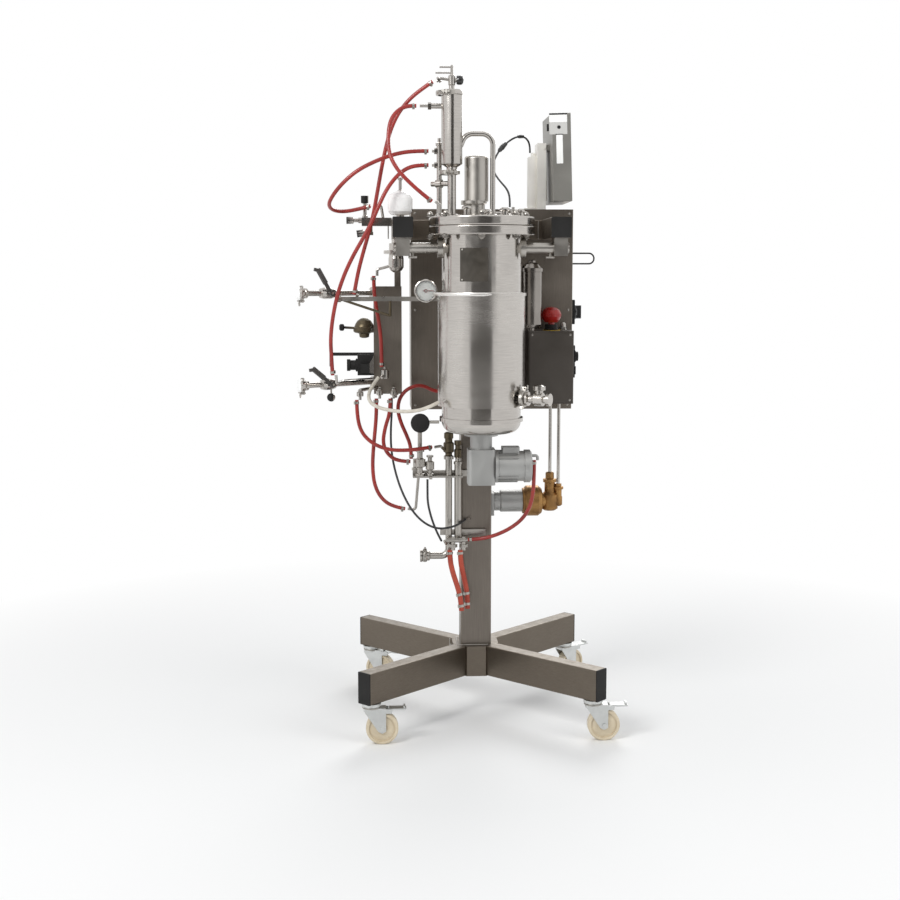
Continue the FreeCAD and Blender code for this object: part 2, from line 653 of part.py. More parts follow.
def vessel_mounts():
    """Trunnion arms from the shell to the rails, their saddles, and the stay to the column."""
    shell = Part.makeCylinder(SHELL_RADIUS, FLANGE_BOTTOM, Vector(0, VESSEL_Y, 0))
    jacket = Part.makeCylinder(JACKET_RADIUS, FLANGE_BOTTOM, Vector(0, VESSEL_Y, 0))
    pieces = []
    for side in (-1, 1):
        centre = Vector(0, VESSEL_Y, TRUNNION_HEIGHT)
        tip = centre + RIGHT * side * (RAIL_X + RAIL_SIDE / 2 - 4)
        arm = rod(centre, tip, TRUNNION_RADIUS)
        collar = rod(centre, centre + RIGHT * side * (SHELL_RADIUS + 12), TRUNNION_RADIUS * 1.9)
        saddle = span((side * RAIL_X - SADDLE_WIDTH / 2, side * RAIL_X + SADDLE_WIDTH / 2),
                      (VESSEL_Y - SADDLE_DEPTH / 2, VESSEL_Y + SADDLE_DEPTH / 2),
                      (TRUNNION_HEIGHT - TRUNNION_RADIUS - 8, COLUMN_TOP))
        pin_x = side * (RAIL_X - SADDLE_WIDTH / 2 - 9)
        pin = rod(Vector(pin_x, VESSEL_Y, TRUNNION_HEIGHT),
                  Vector(pin_x, VESSEL_Y, TRUNNION_HEIGHT - TRUNNION_RADIUS - 12), 4)
        bar = rod(Vector(pin_x - 13, VESSEL_Y, TRUNNION_HEIGHT - TRUNNION_RADIUS - 12),
                  Vector(pin_x + 13, VESSEL_Y, TRUNNION_HEIGHT - TRUNNION_RADIUS - 12), 3.5)
        pieces.append(joined([arm, collar, saddle, pin, bar]).cut(shell))
    stay = span((-STAY_WIDTH / 2, STAY_WIDTH / 2), (VESSEL_Y, -COLUMN_SIDE / 2),
                (STAY_HEIGHT - STAY_THICKNESS / 2, STAY_HEIGHT + STAY_THICKNESS / 2))
    pieces.append(stay.cut(jacket))
    return pieces


def lid():
    """Flat round lid that is bolted to the head flange."""
    return [rim_disc(LID_BOTTOM, LID_TOP)]


def lid_port(x, y, radius, height, cap_radius):
    """A small port with a clamp ring and a blank cap, standing on the lid."""
    foot = Vector(x, VESSEL_Y + y, LID_TOP)
    return turned([(radius, 0), (radius, height - 11), (cap_radius, height - 9),
                   (cap_radius, height - 5), (cap_radius - 3, height - 2), (cap_radius - 6, height),
                   (0, height)], foot)


def lid_fittings():
    """Ports, probe head, riser with two hose tails, and the pipe that arches over the middle."""
    pieces = [lid_port(62, -96, 10, 24, 16), lid_port(112, -62, 8, 22, 13),
              lid_port(118, 50, 9, 26, 15), lid_port(60, 88, 11, 20, 17),
              lid_port(10, -118, 7, 17, 12), lid_port(-52, -92, 9, 30, 15)]

    cable, way = route_end("terminal_cable", last=True)
    probe_foot = Vector(cable.x, cable.y, LID_TOP)
    probe = turned([(13, 0), (13, 8), (9, 10), (9, 20), (6, 22)], probe_foot)
    pieces.append(joined([probe, rod(probe_foot + UP * 15, cable, 5)]))

    port, way = route_end("return_hose", last=True)
    bend = port + way * 18
    neck = bent_rod([port, bend, Vector(bend.x, bend.y, LID_TOP)], 4.5, 6)
    pieces.append(joined([neck, turned([(12, 0), (12, 7), (8, 9)],
                                       Vector(bend.x, bend.y, LID_TOP))]))

    pieces.append(riser())
    pieces.append(gooseneck())
    return pieces


def riser():
    """Pipe on the left of the lid with two hose tails and a cross pipe to the condenser neck."""
    y = VESSEL_Y + RISER_Y
    foot = Vector(RISER_X, y, LID_TOP)
    top, top_way = route_end("inlet_hose")
    side, side_way = route_end("supply_hose")
    up = rod(foot, Vector(RISER_X, y, top.z + 18), RISER_RADIUS)
    tails = []
    for end, way in ((top, top_way), (side, side_way)):
        tails.append(rod(end, end + way * (RISER_X - end.x), 4.5))
        tails.append(hexagon(end + way * 7, way, 16, 8))
    cap = turned([(6, 0), (11, 2), (11, 10), (5, 12), (5, 24)], Vector(RISER_X, y, top.z + 14))
    flange = turned([(13, 0), (13, 7), (9, 9)], foot)
    height = (LID_TOP + CONDENSER_BOTTOM) / 2 + 22
    neck = Part.makeCylinder(CONDENSER_NECK, CONDENSER_BOTTOM, Vector(CONDENSER_X, VESSEL_Y, 0))
    here = Vector(RISER_X, y, height)
    way = (Vector(CONDENSER_X, VESSEL_Y, height) - here).normalize()
    cross = rod(here - way * 26, Vector(CONDENSER_X, VESSEL_Y, height), RISER_RADIUS).cut(neck)
    union = rod(here - way * 9, here + way * 9, 13)
    return joined([up, cap, flange, union, cross] + tails)


def gooseneck():
    """Polished pipe from the condenser's side over the foam breaker and down to the lid."""
    reach = CONDENSER_X + CONDENSER_RADIUS
    bend = (GOOSENECK_X - reach) / 2
    start = Vector(reach - 6, VESSEL_Y, GOOSENECK_HEIGHT + 8)
    top = GOOSENECK_HEIGHT + bend
    corner = Vector(reach + 10, VESSEL_Y, top)
    points = [start, corner, Vector(GOOSENECK_X, VESSEL_Y, top), Vector(GOOSENECK_X, VESSEL_Y, LID_TOP)]
    pipe = bent_rod(points, GOOSENECK_RADIUS, bend * 0.72)
    shell = Part.makeCylinder(CONDENSER_RADIUS, CONDENSER_TOP - CONDENSER_BOTTOM,
                              Vector(CONDENSER_X, VESSEL_Y, CONDENSER_BOTTOM))
    flange = turned([(14, 0), (14, 7), (10, 9), (10, 18)], Vector(GOOSENECK_X, VESSEL_Y, LID_TOP))
    return joined([pipe.cut(shell), flange])


def foam_breaker():
    """Brushed can of the foam breaker on its clamped neck."""
    rise = BREAKER_BOTTOM - LID_TOP
    body = turned([(35, 0), (35, 7), (26, 9), (26, rise - 9), (32, rise - 7), (32, rise - 1),
                   (BREAKER_RADIUS, rise), (BREAKER_RADIUS, BREAKER_TOP - LID_TOP)], BREAKER_AT)
    return [round_rims(body, 8, BREAKER_TOP)]


def condenser():
    """Polished tube on a clamped neck, its side port, and the valve on its top."""
    low = CONDENSER_BOTTOM - LID_TOP
    high = CONDENSER_TOP - LID_TOP
    r = CONDENSER_RADIUS
    n = CONDENSER_NECK
    outline = [(25, 0), (25, 7), (n, 9), (n, low - 32), (n + 12, low - 30), (n + 12, low - 20),
               (n + 3, low - 16), (n + 3, low - 10), (r, low), (r, high - 16), (r + 2, high - 14),
               (r + 2, high - 5), (r - 2, high), (9, high), (9, high + 18)]
    body = turned(outline, CONDENSER_AT)
    side_end, side_way = route_end("return_hose")
    side_root = Vector(CONDENSER_X, VESSEL_Y, side_end.z)
    side = [rod(side_end, side_root, 4.5), rod(side_root + LEFT * (r - 2), side_root + LEFT * (r + 34), 8),
            hexagon(side_root + LEFT * (r + 30), LEFT, 19, 10)]
    heart = knob_heart()
    ball = turned([(8, -17), (11, -14), (11, 12), (8, 15), (4.5, 16), (4.5, 40), (3, 44)], heart)
    tail_end, tail_way = route_end("condenser_hose")
    tail = [bent_rod([tail_end, tail_end + tail_way * 16, heart], 4.5, 6),
            hexagon(tail_end + tail_way * 5, tail_way, 16, 8)]
    spindle = rod(heart, heart + RIGHT * SPINDLE_LENGTH, 7)
    handle = [rod(heart + UP * 38, heart + UP * 38 + LEFT * 37, 2.6),
              rod(heart + UP * 21, heart + UP * 21 + LEFT * 49, 2.6)]
    socket = rod(heart + RIGHT * 2, heart + RIGHT * (SPINDLE_LENGTH + 2),
                 KNOB_PIN_RADIUS + RUNNING)
    return [joined([body, ball, spindle] + side + tail + handle).cut(socket)]


def knob_heart():
    return Vector(CONDENSER_X, VESSEL_Y, CONDENSER_TOP + VALVE_RISE)


def condenser_knob():
    """Black turning knob of the condenser's valve, its stem in the valve's socket."""
    heart = knob_heart()
    knob = turned([(8, 0), (12, 1), (KNOB_RADIUS, 6), (KNOB_RADIUS, 15), (11, 20), (6, 22)],
                  heart + RIGHT * (SPINDLE_LENGTH + TOUCH), RIGHT)
    pin = rod(heart + RIGHT * 4, heart + RIGHT * (SPINDLE_LENGTH + 4), KNOB_PIN_RADIUS)
    return [joined([knob, pin])]


def agitator():
    """Shaft from the drive below, with three bladed discs."""
    foot = Vector(0, VESSEL_Y, GEARBOX_TOP + 8)
    pieces = [rod(foot, Vector(0, VESSEL_Y, SHAFT_TOP), SHAFT_RADIUS)]
    for height in IMPELLER_HEIGHTS:
        at = Vector(0, VESSEL_Y, height)
        pieces.append(rod(at + DOWN * 9, at + UP * 9, SHAFT_RADIUS + 7))
        pieces.append(rod(at + DOWN * 1.5, at + UP * 1.5, IMPELLER_DISC))
        blade = span((IMPELLER_DISC - 9, IMPELLER_RADIUS), (VESSEL_Y - BLADE_THICKNESS / 2,
                     VESSEL_Y + BLADE_THICKNESS / 2), (height - BLADE_HEIGHT / 2,
                     height + BLADE_HEIGHT / 2))
        pieces += [around(blade, 60 * k, at) for k in range(6)]
    return [joined(pieces)]


def drive_unit():
    """Flanged seal housing, angle gearbox and sideways motor under the vessel."""
    at = Vector(0, VESSEL_Y, GEARBOX_TOP)
    rise = SHELL_BOTTOM - GEARBOX_TOP
    half = GEARBOX_SIDE / 2
    neck = turned([(34, -5), (34, rise - 12), (DRIVE_FLANGE_RADIUS, rise - 10),
                   (DRIVE_FLANGE_RADIUS, rise)], at)
    box = rounded_box((-half, half), (VESSEL_Y - half, VESSEL_Y + half),
                      (GEARBOX_BOTTOM, GEARBOX_TOP), 12)
    bore = rod(at + UP * 4, at + UP * (rise + 1), SHAFT_RADIUS + RUNNING)
    housing = joined([neck, box]).cut(bore)
    middle = (GEARBOX_TOP + GEARBOX_BOTTOM) / 2
    start = Vector(half, VESSEL_Y, middle)
    motor = turned([(MOTOR_RADIUS + 4, 0), (MOTOR_RADIUS + 4, 9), (MOTOR_RADIUS, 11),
                    (MOTOR_RADIUS, MOTOR_LENGTH), (COWL_RADIUS, MOTOR_LENGTH),
                    (COWL_RADIUS, MOTOR_LENGTH + COWL_LENGTH - 5),
                    (COWL_RADIUS - 6, MOTOR_LENGTH + COWL_LENGTH)], start, RIGHT)
    end, way = route_end("cross_hose")
    lead = bent_rod([end, end + way * 14, Vector(start.x + MOTOR_LENGTH - 22, VESSEL_Y, end.z + 14)],
                    4.5, 7)
    terminals = rounded_box((start.x + 22, start.x + 76), (VESSEL_Y - 24, VESSEL_Y + 24),
                            (middle + MOTOR_RADIUS - 12, middle + MOTOR_RADIUS + 14), 5)
    return [housing, joined([motor, terminals, lead])]


# ---------------------------------------------------------------- cabinet side
def utility_cabinet():
    """Closed sheet-metal cabinet on the back of the column."""
    x = (CABINET_LEFT, CABINET_RIGHT)
    y = (CABINET_FRONT, CABINET_BACK)
    z = (CABINET_BOTTOM, CABINET_TOP)
    outer = rounded_box(x, y, z, SHEET, UP)
    inner = span(*[(lo + SHEET, hi - SHEET) for lo, hi in (x, y, z)])
    return [outer.cut(inner)]


def terminal_box():
    """Dark box in front of the cabinet's right side."""
    x = (TERMINAL_BOX_LEFT, TERMINAL_BOX_RIGHT)
    y = (TERMINAL_BOX_FRONT, CABINET_FRONT)
    z = (TERMINAL_BOX_BOTTOM, TERMINAL_BOX_TOP)
    outer = rounded_box(x, y, z, 4, UP)
    inner = span(*[(lo + SHEET, hi - SHEET) for lo, hi in (x, y, z)])
    return [outer.cut(inner)]


def air_filter():
    """Polished filter housing with domed ends, standing on the terminal box."""
    foot = Vector(FILTER_X, FILTER_Y, TERMINAL_BOX_TOP)
    r = FILTER_RADIUS
    h = FILTER_HEIGHT
    foot_r = FILTER_FOOT_RADIUS
    bead = r + FILTER_BEAD
    body = turned([(foot_r, 0), (foot_r, 8), (r - 9, 9), (r, 20), (r, h - 30), (bead, h - 29),
                   (bead, h - 18), (r, h - 17), (r - 9, h - 6), (12, h), (12, h + 6), (6, h + 8)],
                  foot)
    return [body]


def panel_post():
    """Round post with the cable's gland, forked bracket, and the terminal's hinge pin."""
    cable, way = route_end("terminal_cable")
    base = Vector(cable.x, cable.y, CABINET_TOP)
    rise = cable.z - CABINET_TOP
    post = turned([(30, 0), (30, 6), (POST_RADIUS, 8), (POST_RADIUS, rise - 16),
                   (POST_RADIUS - 3, rise - 13), (8, rise - 12), (8, rise - 3), (6, rise)], base)
    half = BRACKET_WIDTH / 2
    wall = 4
    y = (PANEL_HINGE_Y - half, PANEL_HINGE_Y + half)
    back = span((PANEL_HINGE_X - 20, PANEL_HINGE_X - 16), y, (CABINET_TOP, BRACKET_TOP))
    sides = [span((PANEL_HINGE_X - 16, PANEL_HINGE_X + 8), edge, (CABINET_TOP, BRACKET_TOP))
             for edge in ((y[0], y[0] + wall), (y[1] - wall, y[1]))]
    pin = rod(Vector(PANEL_HINGE_X, y[0] - 3, PANEL_HINGE_HEIGHT),
              Vector(PANEL_HINGE_X, y[1] + 3, PANEL_HINGE_HEIGHT), PANEL_PIN_RADIUS)
    link = span((cable.x, PANEL_HINGE_X - 16), (cable.y - 12, cable.y + 12),
                (CABINET_TOP + rise - 70, CABINET_TOP + rise - 30))
    return [joined([post, back, pin, link] + sides)]


def control_panel():
    """Touch terminal that tilts on the bracket's pin."""
    back = PANEL_HINGE_X + PANEL_GAP
    front = back + PANEL_THICKNESS
    half = PANEL_WIDTH / 2
    y = (PANEL_HINGE_Y - half, PANEL_HINGE_Y + half)
    wall = PANEL_WALL
    case = rounded_box((back, front), y, (PANEL_BOTTOM, PANEL_TOP), 6, RIGHT)
    hollow = span((back + wall, front - 2 * wall), (y[0] + wall, y[1] - wall),
                  (PANEL_BOTTOM + wall, PANEL_TOP - wall))
    screen = span((front - wall / 2, front), (y[0] + 22, y[1] - 22),
                  (PANEL_BOTTOM + 42, PANEL_TOP - 26))
    at = Vector(PANEL_HINGE_X, PANEL_HINGE_Y, PANEL_HINGE_HEIGHT)
    reach = BRACKET_WIDTH / 2 - 4 - TOUCH
    eye = rod(at + FRONT * reach, at + BACK * reach, PANEL_PIN_RADIUS + 5)
    lug = span((PANEL_HINGE_X, back), (PANEL_HINGE_Y - reach, PANEL_HINGE_Y + reach),
               (PANEL_HINGE_HEIGHT - 9, PANEL_HINGE_HEIGHT + 9))
    bore = rod(at + FRONT * (reach + 1), at + BACK * (reach + 1), PANEL_PIN_RADIUS + RUNNING)
    body = joined([case, eye, lug]).cut(bore).cut(hollow).cut(screen)
    return [around(body, -PANEL_TILT, at, BACK)]


def emergency_stop():
    """Mushroom head on its stem in the collar."""
    seat = TERMINAL_BOX_TOP + STOP_COLLAR_HEIGHT + STOP_TRAVEL + TOUCH
    head = turned([(STOP_COLLAR_RADIUS, 0), (STOP_RADIUS - 5, 8), (STOP_RADIUS, 18),
                   (STOP_RADIUS, 28), (STOP_RADIUS - 6, 40), (STOP_RADIUS - 16, 47),
                   (0, 50)], Vector(STOP_X, STOP_Y, seat))
    stem = rod(Vector(STOP_X, STOP_Y, TERMINAL_BOX_TOP + STOP_TRAVEL + TOUCH),
               Vector(STOP_X, STOP_Y, seat + 5), STOP_STEM_RADIUS)
    return [joined([head, stem])]


def stop_collar():
    foot = Vector(STOP_X, STOP_Y, TERMINAL_BOX_TOP)
    collar = turned([(STOP_COLLAR_RADIUS + 3, 0), (STOP_COLLAR_RADIUS + 3, 5),
                     (STOP_COLLAR_RADIUS, 7), (STOP_COLLAR_RADIUS, STOP_COLLAR_HEIGHT)], foot)
    return collar.cut(rod(foot, foot + UP * (STOP_COLLAR_HEIGHT + 1), STOP_STEM_RADIUS + RUNNING))


def switch_place():
    return Vector(CABINET_RIGHT, CABINET_FRONT + 40, SWITCH_HEIGHT)


def cabinet_fittings():
    """Stop collar, switch plate, socket, cable gland and the hose hook."""
    place = switch_place()
    plate = rounded_box((CABINET_RIGHT, CABINET_RIGHT + 10), (place.y - 32, place.y + 32),
                        (place.z - 40, place.z + 40), 5, RIGHT)
    plate = plate.cut(rod(place + RIGHT * 2, place + RIGHT * 11, 6 + RUNNING))

    box = TERMINAL_BOX_RIGHT
    socket_y = TERMINAL_BOX_FRONT + 92
    socket = rounded_box((box, box + 14), (socket_y - 22, socket_y + 22), (1110, 1214), 6, RIGHT)
    cover = turned([(19, 0), (19, 4), (15, 6), (15, 12)], Vector(box + 14, socket_y, 1178), RIGHT)
    latch = span((box + 14, box + 19), (socket_y - 8, socket_y + 8), (1120, 1146))

    gland_at = Vector(TERMINAL_BOX_RIGHT - 20, TERMINAL_BOX_FRONT + 116, TERMINAL_BOX_TOP)
    gland = joined([hexagon(gland_at, UP, 22, 9), turned([(10, 8), (9, 20), (5, 24)], gland_at)])

    hook_y = CABINET_FRONT + 30
    hook = bent_rod([Vector(CABINET_RIGHT, hook_y, 1510), Vector(CABINET_RIGHT + 74, hook_y, 1510),
                     Vector(CABINET_RIGHT + 74, hook_y, 1476), Vector(CABINET_RIGHT, hook_y, 1476)],
                    2.6, 16.5)
    return [stop_collar(), plate, joined([socket, cover, latch]), gland, hook]


def main_switch():
    """Rotary handle of the main switch."""
    place = switch_place() + RIGHT * (10 + TOUCH)
    disc = turned([(SWITCH_RADIUS, 0), (SWITCH_RADIUS, 6), (SWITCH_RADIUS - 3, 8)], place, RIGHT)
    grip = rounded_box((place.x + 6, place.x + 24), (place.y - 6, place.y + 6),
                       (place.z - SWITCH_RADIUS + 2, place.z + SWITCH_RADIUS - 2), 4, RIGHT)
    stem = rod(place + LEFT * 7, place + RIGHT * 2, 6)
    return [joined([disc, grip, stem])]


def circulation_pump():
    """Bronze pump beside the column, its motor flanged to it, and fittings for two pipes."""
    start = Vector(COLUMN_SIDE / 2, 0, PUMP_HEIGHT)
    foot = span((start.x, start.x + 10), (-34, 34), (PUMP_HEIGHT - 44, PUMP_HEIGHT + 30))
    r = PUMP_MOTOR_RADIUS
    motor = turned([(r - 8, 0), (r - 4, 12), (r - 4, 30), (r, 34), (r, PUMP_MOTOR_LENGTH - 8),
                    (r + 6, PUMP_MOTOR_LENGTH - 6), (r + 6, PUMP_MOTOR_LENGTH)], start, RIGHT)
    volute_at = start + RIGHT * PUMP_MOTOR_LENGTH
    w = VOLUTE_WIDTH
    volute = turned([(VOLUTE_RADIUS - 5, 0), (VOLUTE_RADIUS, 6), (VOLUTE_RADIUS, w - 12),
                     (VOLUTE_RADIUS - 9, w), (26, w + 4), (22, w + 18), (22, w + 25)],
                    volute_at, RIGHT)
    near, far = pump_pipe_places()
    outlet = turned([(18, -32), (27, -26), (27, 20), (17, 30), (17, 60), (22, 62), (22, 72),
                     (14, 74), (14, 92), (10, 95)], Vector(near.x, near.y, PUMP_HEIGHT))
    inlet = turned([(9, -18), (14, -14), (14, 12), (12, 16), (12, 36), (17, 38), (17, 46),
                    (11, 48), (11, 56)], Vector(far.x, far.y, PUMP_HEIGHT))
    fittings = joined([around(outlet, 40, near), around(inlet, 70, far)])
    return [joined([motor, foot]), joined([volute, fittings])] + pump_pipes()


def pump_pipe_places():
    near_x = COLUMN_SIDE / 2 + PUMP_MOTOR_LENGTH + VOLUTE_WIDTH + 28
    return Vector(near_x, 0, 0), Vector(near_x + 28, 0, 0)


def pump_pipes():
    """The two upright pipes between the pump and the terminal box."""
    near, far = pump_pipe_places()
    heights = (PUMP_HEIGHT + 95, PUMP_HEIGHT + 56)
    return [rod(Vector(at.x, at.y, h), Vector(at.x, at.y, TERMINAL_BOX_BOTTOM), PUMP_PIPE_RADIUS)
            for at, h in zip((near, far), heights)]


# ---------------------------------------------------------------- left side
def valve_panel():
    """Folded plate on its hanger under the beam, and the hose rail with its struts."""
    front = -PANEL_PLATE_FRONT
    x = (PANEL_PLATE_LEFT, PANEL_PLATE_RIGHT)
    z = (PANEL_PLATE_BOTTOM, PANEL_PLATE_TOP)
    whole = span(x, (front, front + PANEL_PLATE_DEPTH), z)
    inside = span((x[0] + SHEET, x[1] - SHEET), (front + SHEET, front + PANEL_PLATE_DEPTH),
                  (z[0] + SHEET, z[1] - SHEET))
    half = HANGER_WIDTH / 2
    hanger = span((x[1] - 2 - HANGER_WIDTH, x[1] - 2), (-half, half), (PANEL_PLATE_TOP, COLUMN_TOP))
    panel = joined([whole.cut(inside), hanger])

    depth, height = HOSE_RAIL_SECTION
    rail = span((HOSE_RAIL_LEFT, 0), (HOSE_RAIL_Y - depth / 2, HOSE_RAIL_Y + depth / 2),
                (HOSE_RAIL_HEIGHT - height / 2, HOSE_RAIL_HEIGHT + height / 2))
    jacket = Part.makeCylinder(JACKET_RADIUS, JACKET_TOP, Vector(0, VESSEL_Y, 0))
    rail = rail.cut(jacket)
    rail = min(rail.Solids, key=lambda s: s.CenterOfMass.x)
    strut_x = (x[0] + x[1]) / 2 + 17
    strut = rod(Vector(strut_x, HOSE_RAIL_Y, HOSE_RAIL_HEIGHT), Vector(strut_x, front,
                HOSE_RAIL_HEIGHT), 6)
    brace = rod(Vector(HOSE_RAIL_LEFT + 8, HOSE_RAIL_Y, HOSE_RAIL_HEIGHT - 4),
                Vector(strut_x - 10, HOSE_RAIL_Y, HOSE_RAIL_HEIGHT - 52), 4)
    drop = rod(Vector(strut_x - 10, HOSE_RAIL_Y, HOSE_RAIL_HEIGHT - 54),
               Vector(strut_x - 10, HOSE_RAIL_Y, HOSE_RAIL_HEIGHT), 4)
    end, way = route_end("condenser_hose", last=True)
    saddle = rod(end, end + way * (end.z - HOSE_RAIL_HEIGHT), 4.5)
    tip = turned([(10, 0), (10, 12), (6, 16)], Vector(HOSE_RAIL_LEFT, HOSE_RAIL_Y,
                                                      HOSE_RAIL_HEIGHT), LEFT)
    return [panel, joined([rail, strut, brace, drop, saddle, tip])]


def branch_root(height):
    return Vector(VALVE_ROOT[0], VALVE_ROOT[1], height)


def lever_place(height):
    """Where the lever's spindle leaves the branch."""
    return branch_root(height) + VALVE_WAY * (VALVE_REACH * 0.62)


def outlet_branch(height):
    """An outlet pipe with its ball valve, clamp ferrule and spindle."""
    root = branch_root(height)
    r = VALVE_PIPE_RADIUS
    reach = VALVE_REACH
    middle = reach * 0.62
    body = turned([(r, 0), (r, middle - 26), (r + 6, middle - 24), (r + 9, middle - 12),
                   (r + 9, middle + 12), (r + 6, middle + 24), (r, middle + 26), (r, reach - 34),
                   (r + 7, reach - 30), (r + 7, reach - 22), (r + 2, reach - 18), (r + 2, reach - 14),
                   (r + 11, reach - 10), (r + 11, reach - 4), (r + 5, reach)], root, VALVE_WAY)
    flange = turned([(r + 10, 0), (r + 10, 6), (r + 2, 9)], root, VALVE_WAY)
    at = lever_place(height)
    spindle = rod(at, at + SPINDLE_WAY * (r + 24), LEVER_SPINDLE)
    return joined([body, flange, spindle])


def valve_lever(height, angle):
    """Handle on the spindle; angle is its rise above the pipe's direction."""
    at = lever_place(height) + SPINDLE_WAY * (VALVE_PIPE_RADIUS + 11 + TOUCH)
    hub = rod(at, at + SPINDLE_WAY * 11, LEVER_SPINDLE + 5)
    way = VALVE_WAY * math.cos(math.radians(angle)) + UP * math.sin(math.radians(angle))
    arm = span((0, LEVER_LENGTH), (-5.5, 5.5), (0, 5))
    grip = rounded_box((LEVER_LENGTH * 0.42, LEVER_LENGTH), (-8, 8), (-2, 8), 3, RIGHT)
    bend = [Vector(LEVER_LENGTH + x, y, 0) for x, y in
            ((-12, -5), (-2, -5), (11, 8), (4, 15), (-9, 3), (-12, -5))]
    tip = Part.Face(Part.makePolygon(bend)).extrude(UP * 6)
    handle = joined([arm, grip, tip])
    side = SPINDLE_WAY.cross(way)
    turn = FreeCAD.Matrix(way.x, side.x, SPINDLE_WAY.x, at.x, way.y, side.y, SPINDLE_WAY.y, at.y,
                          way.z, side.z, SPINDLE_WAY.z, at.z, 0, 0, 0, 1)
    handle.Placement = FreeCAD.Placement(turn)
    bore = rod(at - SPINDLE_WAY, at + SPINDLE_WAY * 14, LEVER_SPINDLE + RUNNING)
    return [joined([hub, handle]).cut(bore)]


def standing_valve(at, way, length, radius):
    """A plain valve body: two ferrules and a bulging middle along way."""
    half = length / 2
    return turned([(radius * 0.8, 0), (radius * 0.8, 6), (radius * 0.5, 8), (radius * 0.5, half - 16),
                   (radius, half - 12), (radius, half + 12), (radius * 0.5, half + 16),
                   (radius * 0.5, length - 8), (radius * 0.8, length - 6), (radius * 0.8, length)],
                  at, way)


def diaphragm_valve():
    """Domed valve beside the panel's edge, on a short pipe, with a small knob to the left."""
    at = Vector(PANEL_PLATE_LEFT - 30, -PANEL_PLATE_FRONT + 18, 1268)
    body = turned([(8, -30), (15, -27), (17, -16), (32, -12), (35, -8), (35, 2), (32, 6),
                   (29, 14), (22, 25), (12, 32), (5, 34)], at)
    pipe = rod(at, at + RIGHT * 30, 12)
    stem = rod(at, at + UP * 4 + LEFT * 66, 4)
    knob = turned([(7, 0), (11, 3), (11, 12), (7, 16)], at + UP * 4 + LEFT * 64, LEFT)
    return joined([body, pipe, stem, knob])


def side_valves():
    """Everything that the valve panel and the left rail carry."""
    front = -PANEL_PLATE_FRONT
    left = PANEL_PLATE_LEFT
    arm = span((left - 142, left), (front, front + 12), (1182, 1192))
    drop = span((left - 142, left - 134), (front, front + 12), (1148, 1182))
    end, way = route_end("supply_hose", last=True)
    tee = end + way * 24
    run = bent_rod([end, tee, Vector(tee.x + 16, front + 8, tee.z - 6),
                    Vector(left, front + 8, tee.z)], 4.5, 9)
    gland = turned([(11, 0), (11, 5), (7, 6), (7, 14)],
                   Vector(*ROUTES["long_cable"][1][0]) + UP * 14, DOWN)
    pieces = [outlet_branch(UPPER_VALVE_HEIGHT), joined([outlet_branch(LOWER_VALVE_HEIGHT), vent_knob()]),
              diaphragm_valve(), steam_valve(), joined([arm, drop]), run, gland, inlet_valves(),
              capsule_filter(), regulator()]
    for name in ("lower_hose", "inner_hose", "loop_hose"):
        pieces.append(lower_tail(*route_end(name)))
    pieces.append(panel_elbow(*route_end("panel_hose", last=True), *route_end("braided_hose")))
    panel = span((left, PANEL_PLATE_RIGHT), (front, front + PANEL_PLATE_DEPTH),
                 (PANEL_PLATE_BOTTOM, PANEL_PLATE_TOP))
    return [piece.cut(panel) for piece in pieces]


def vent_knob():
    """Round knob on a short stem under the lower outlet's ball valve."""
    at = branch_root(LOWER_VALVE_HEIGHT) + VALVE_WAY * (VALVE_REACH * 0.58)
    stem = rod(at, at + DOWN * 34, 3)
    ball = Part.makeSphere(VENT_KNOB_RADIUS, at + DOWN * (VALVE_PIPE_RADIUS + 33))
    return joined([stem, ball])


def steam_valve():
    """Solenoid valve on the panel's edge: square coil, round nose to the left, cable socket."""
    edge = PANEL_PLATE_LEFT
    y = -PANEL_PLATE_FRONT + 2
    low = LOWER_VALVE_HEIGHT + 24
    coil = rounded_box((edge - 52, edge), (y - 24, y + 24), (low, low + 68), 5, RIGHT)
    nose = turned([(21, 0), (21, 5), (16, 7), (16, 22), (19, 24), (19, 34)],
                  Vector(edge - 52, y, low + 32), LEFT)
    plug = span((edge - 42, edge - 14), (y - 42, y - 24), (low + 8, low + 38))
    return joined([coil, nose, plug])


def inlet_valves():
    """Three small capped valves on a block at the left rail, fed by the inlet hose."""
    wall_x = -RAIL_X - RAIL_SIDE / 2
    block = span((wall_x - 94, wall_x), (-96, -62), (1591, 1617))
    end, way = route_end("inlet_hose", last=True)
    feed = bent_rod([end, end + way * 22, Vector(wall_x - 26, -84, 1610)], 4.5, 8)
    x = wall_x - 94
    outlines = ([(9, 0), (9, 8), (6, 10), (6, 46), (12, 48), (12, 70)],
                [(9, 0), (9, 10), (6, 12), (6, 24), (11, 26), (11, 48)],
                [(8, 0), (8, 8), (6, 10), (6, 18), (11, 20), (11, 42)])
    upright = turned(outlines[0], Vector(x + 10, -79, 1615))
    upper = turned(outlines[1], Vector(x, -79, 1609), LEFT)
    low_at = Vector(x + 26, -79, 1573)
    drop = joined([rod(low_at, Vector(low_at.x, low_at.y, 1595), 8), rod(low_at, low_at + DOWN * 10, 10)])
    lower = turned(outlines[2], low_at, Vector(-1, 0, -0.15))
    return joined([block, feed, upright, upper, drop, lower])


def capsule_filter():
    """Round filter capsule standing on the left rail, with its vent stem."""
    foot = Vector(-RAIL_X - 6, -200, RAIL_TOP)
    return turned([(12, 0), (12, 6), (28, 8), (37, 18), (38, 26), (38, 58), (34, 68), (22, 76),
                   (12, 79), (8, 82), (5, 84), (5, 112), (8, 114), (8, 120)], foot)


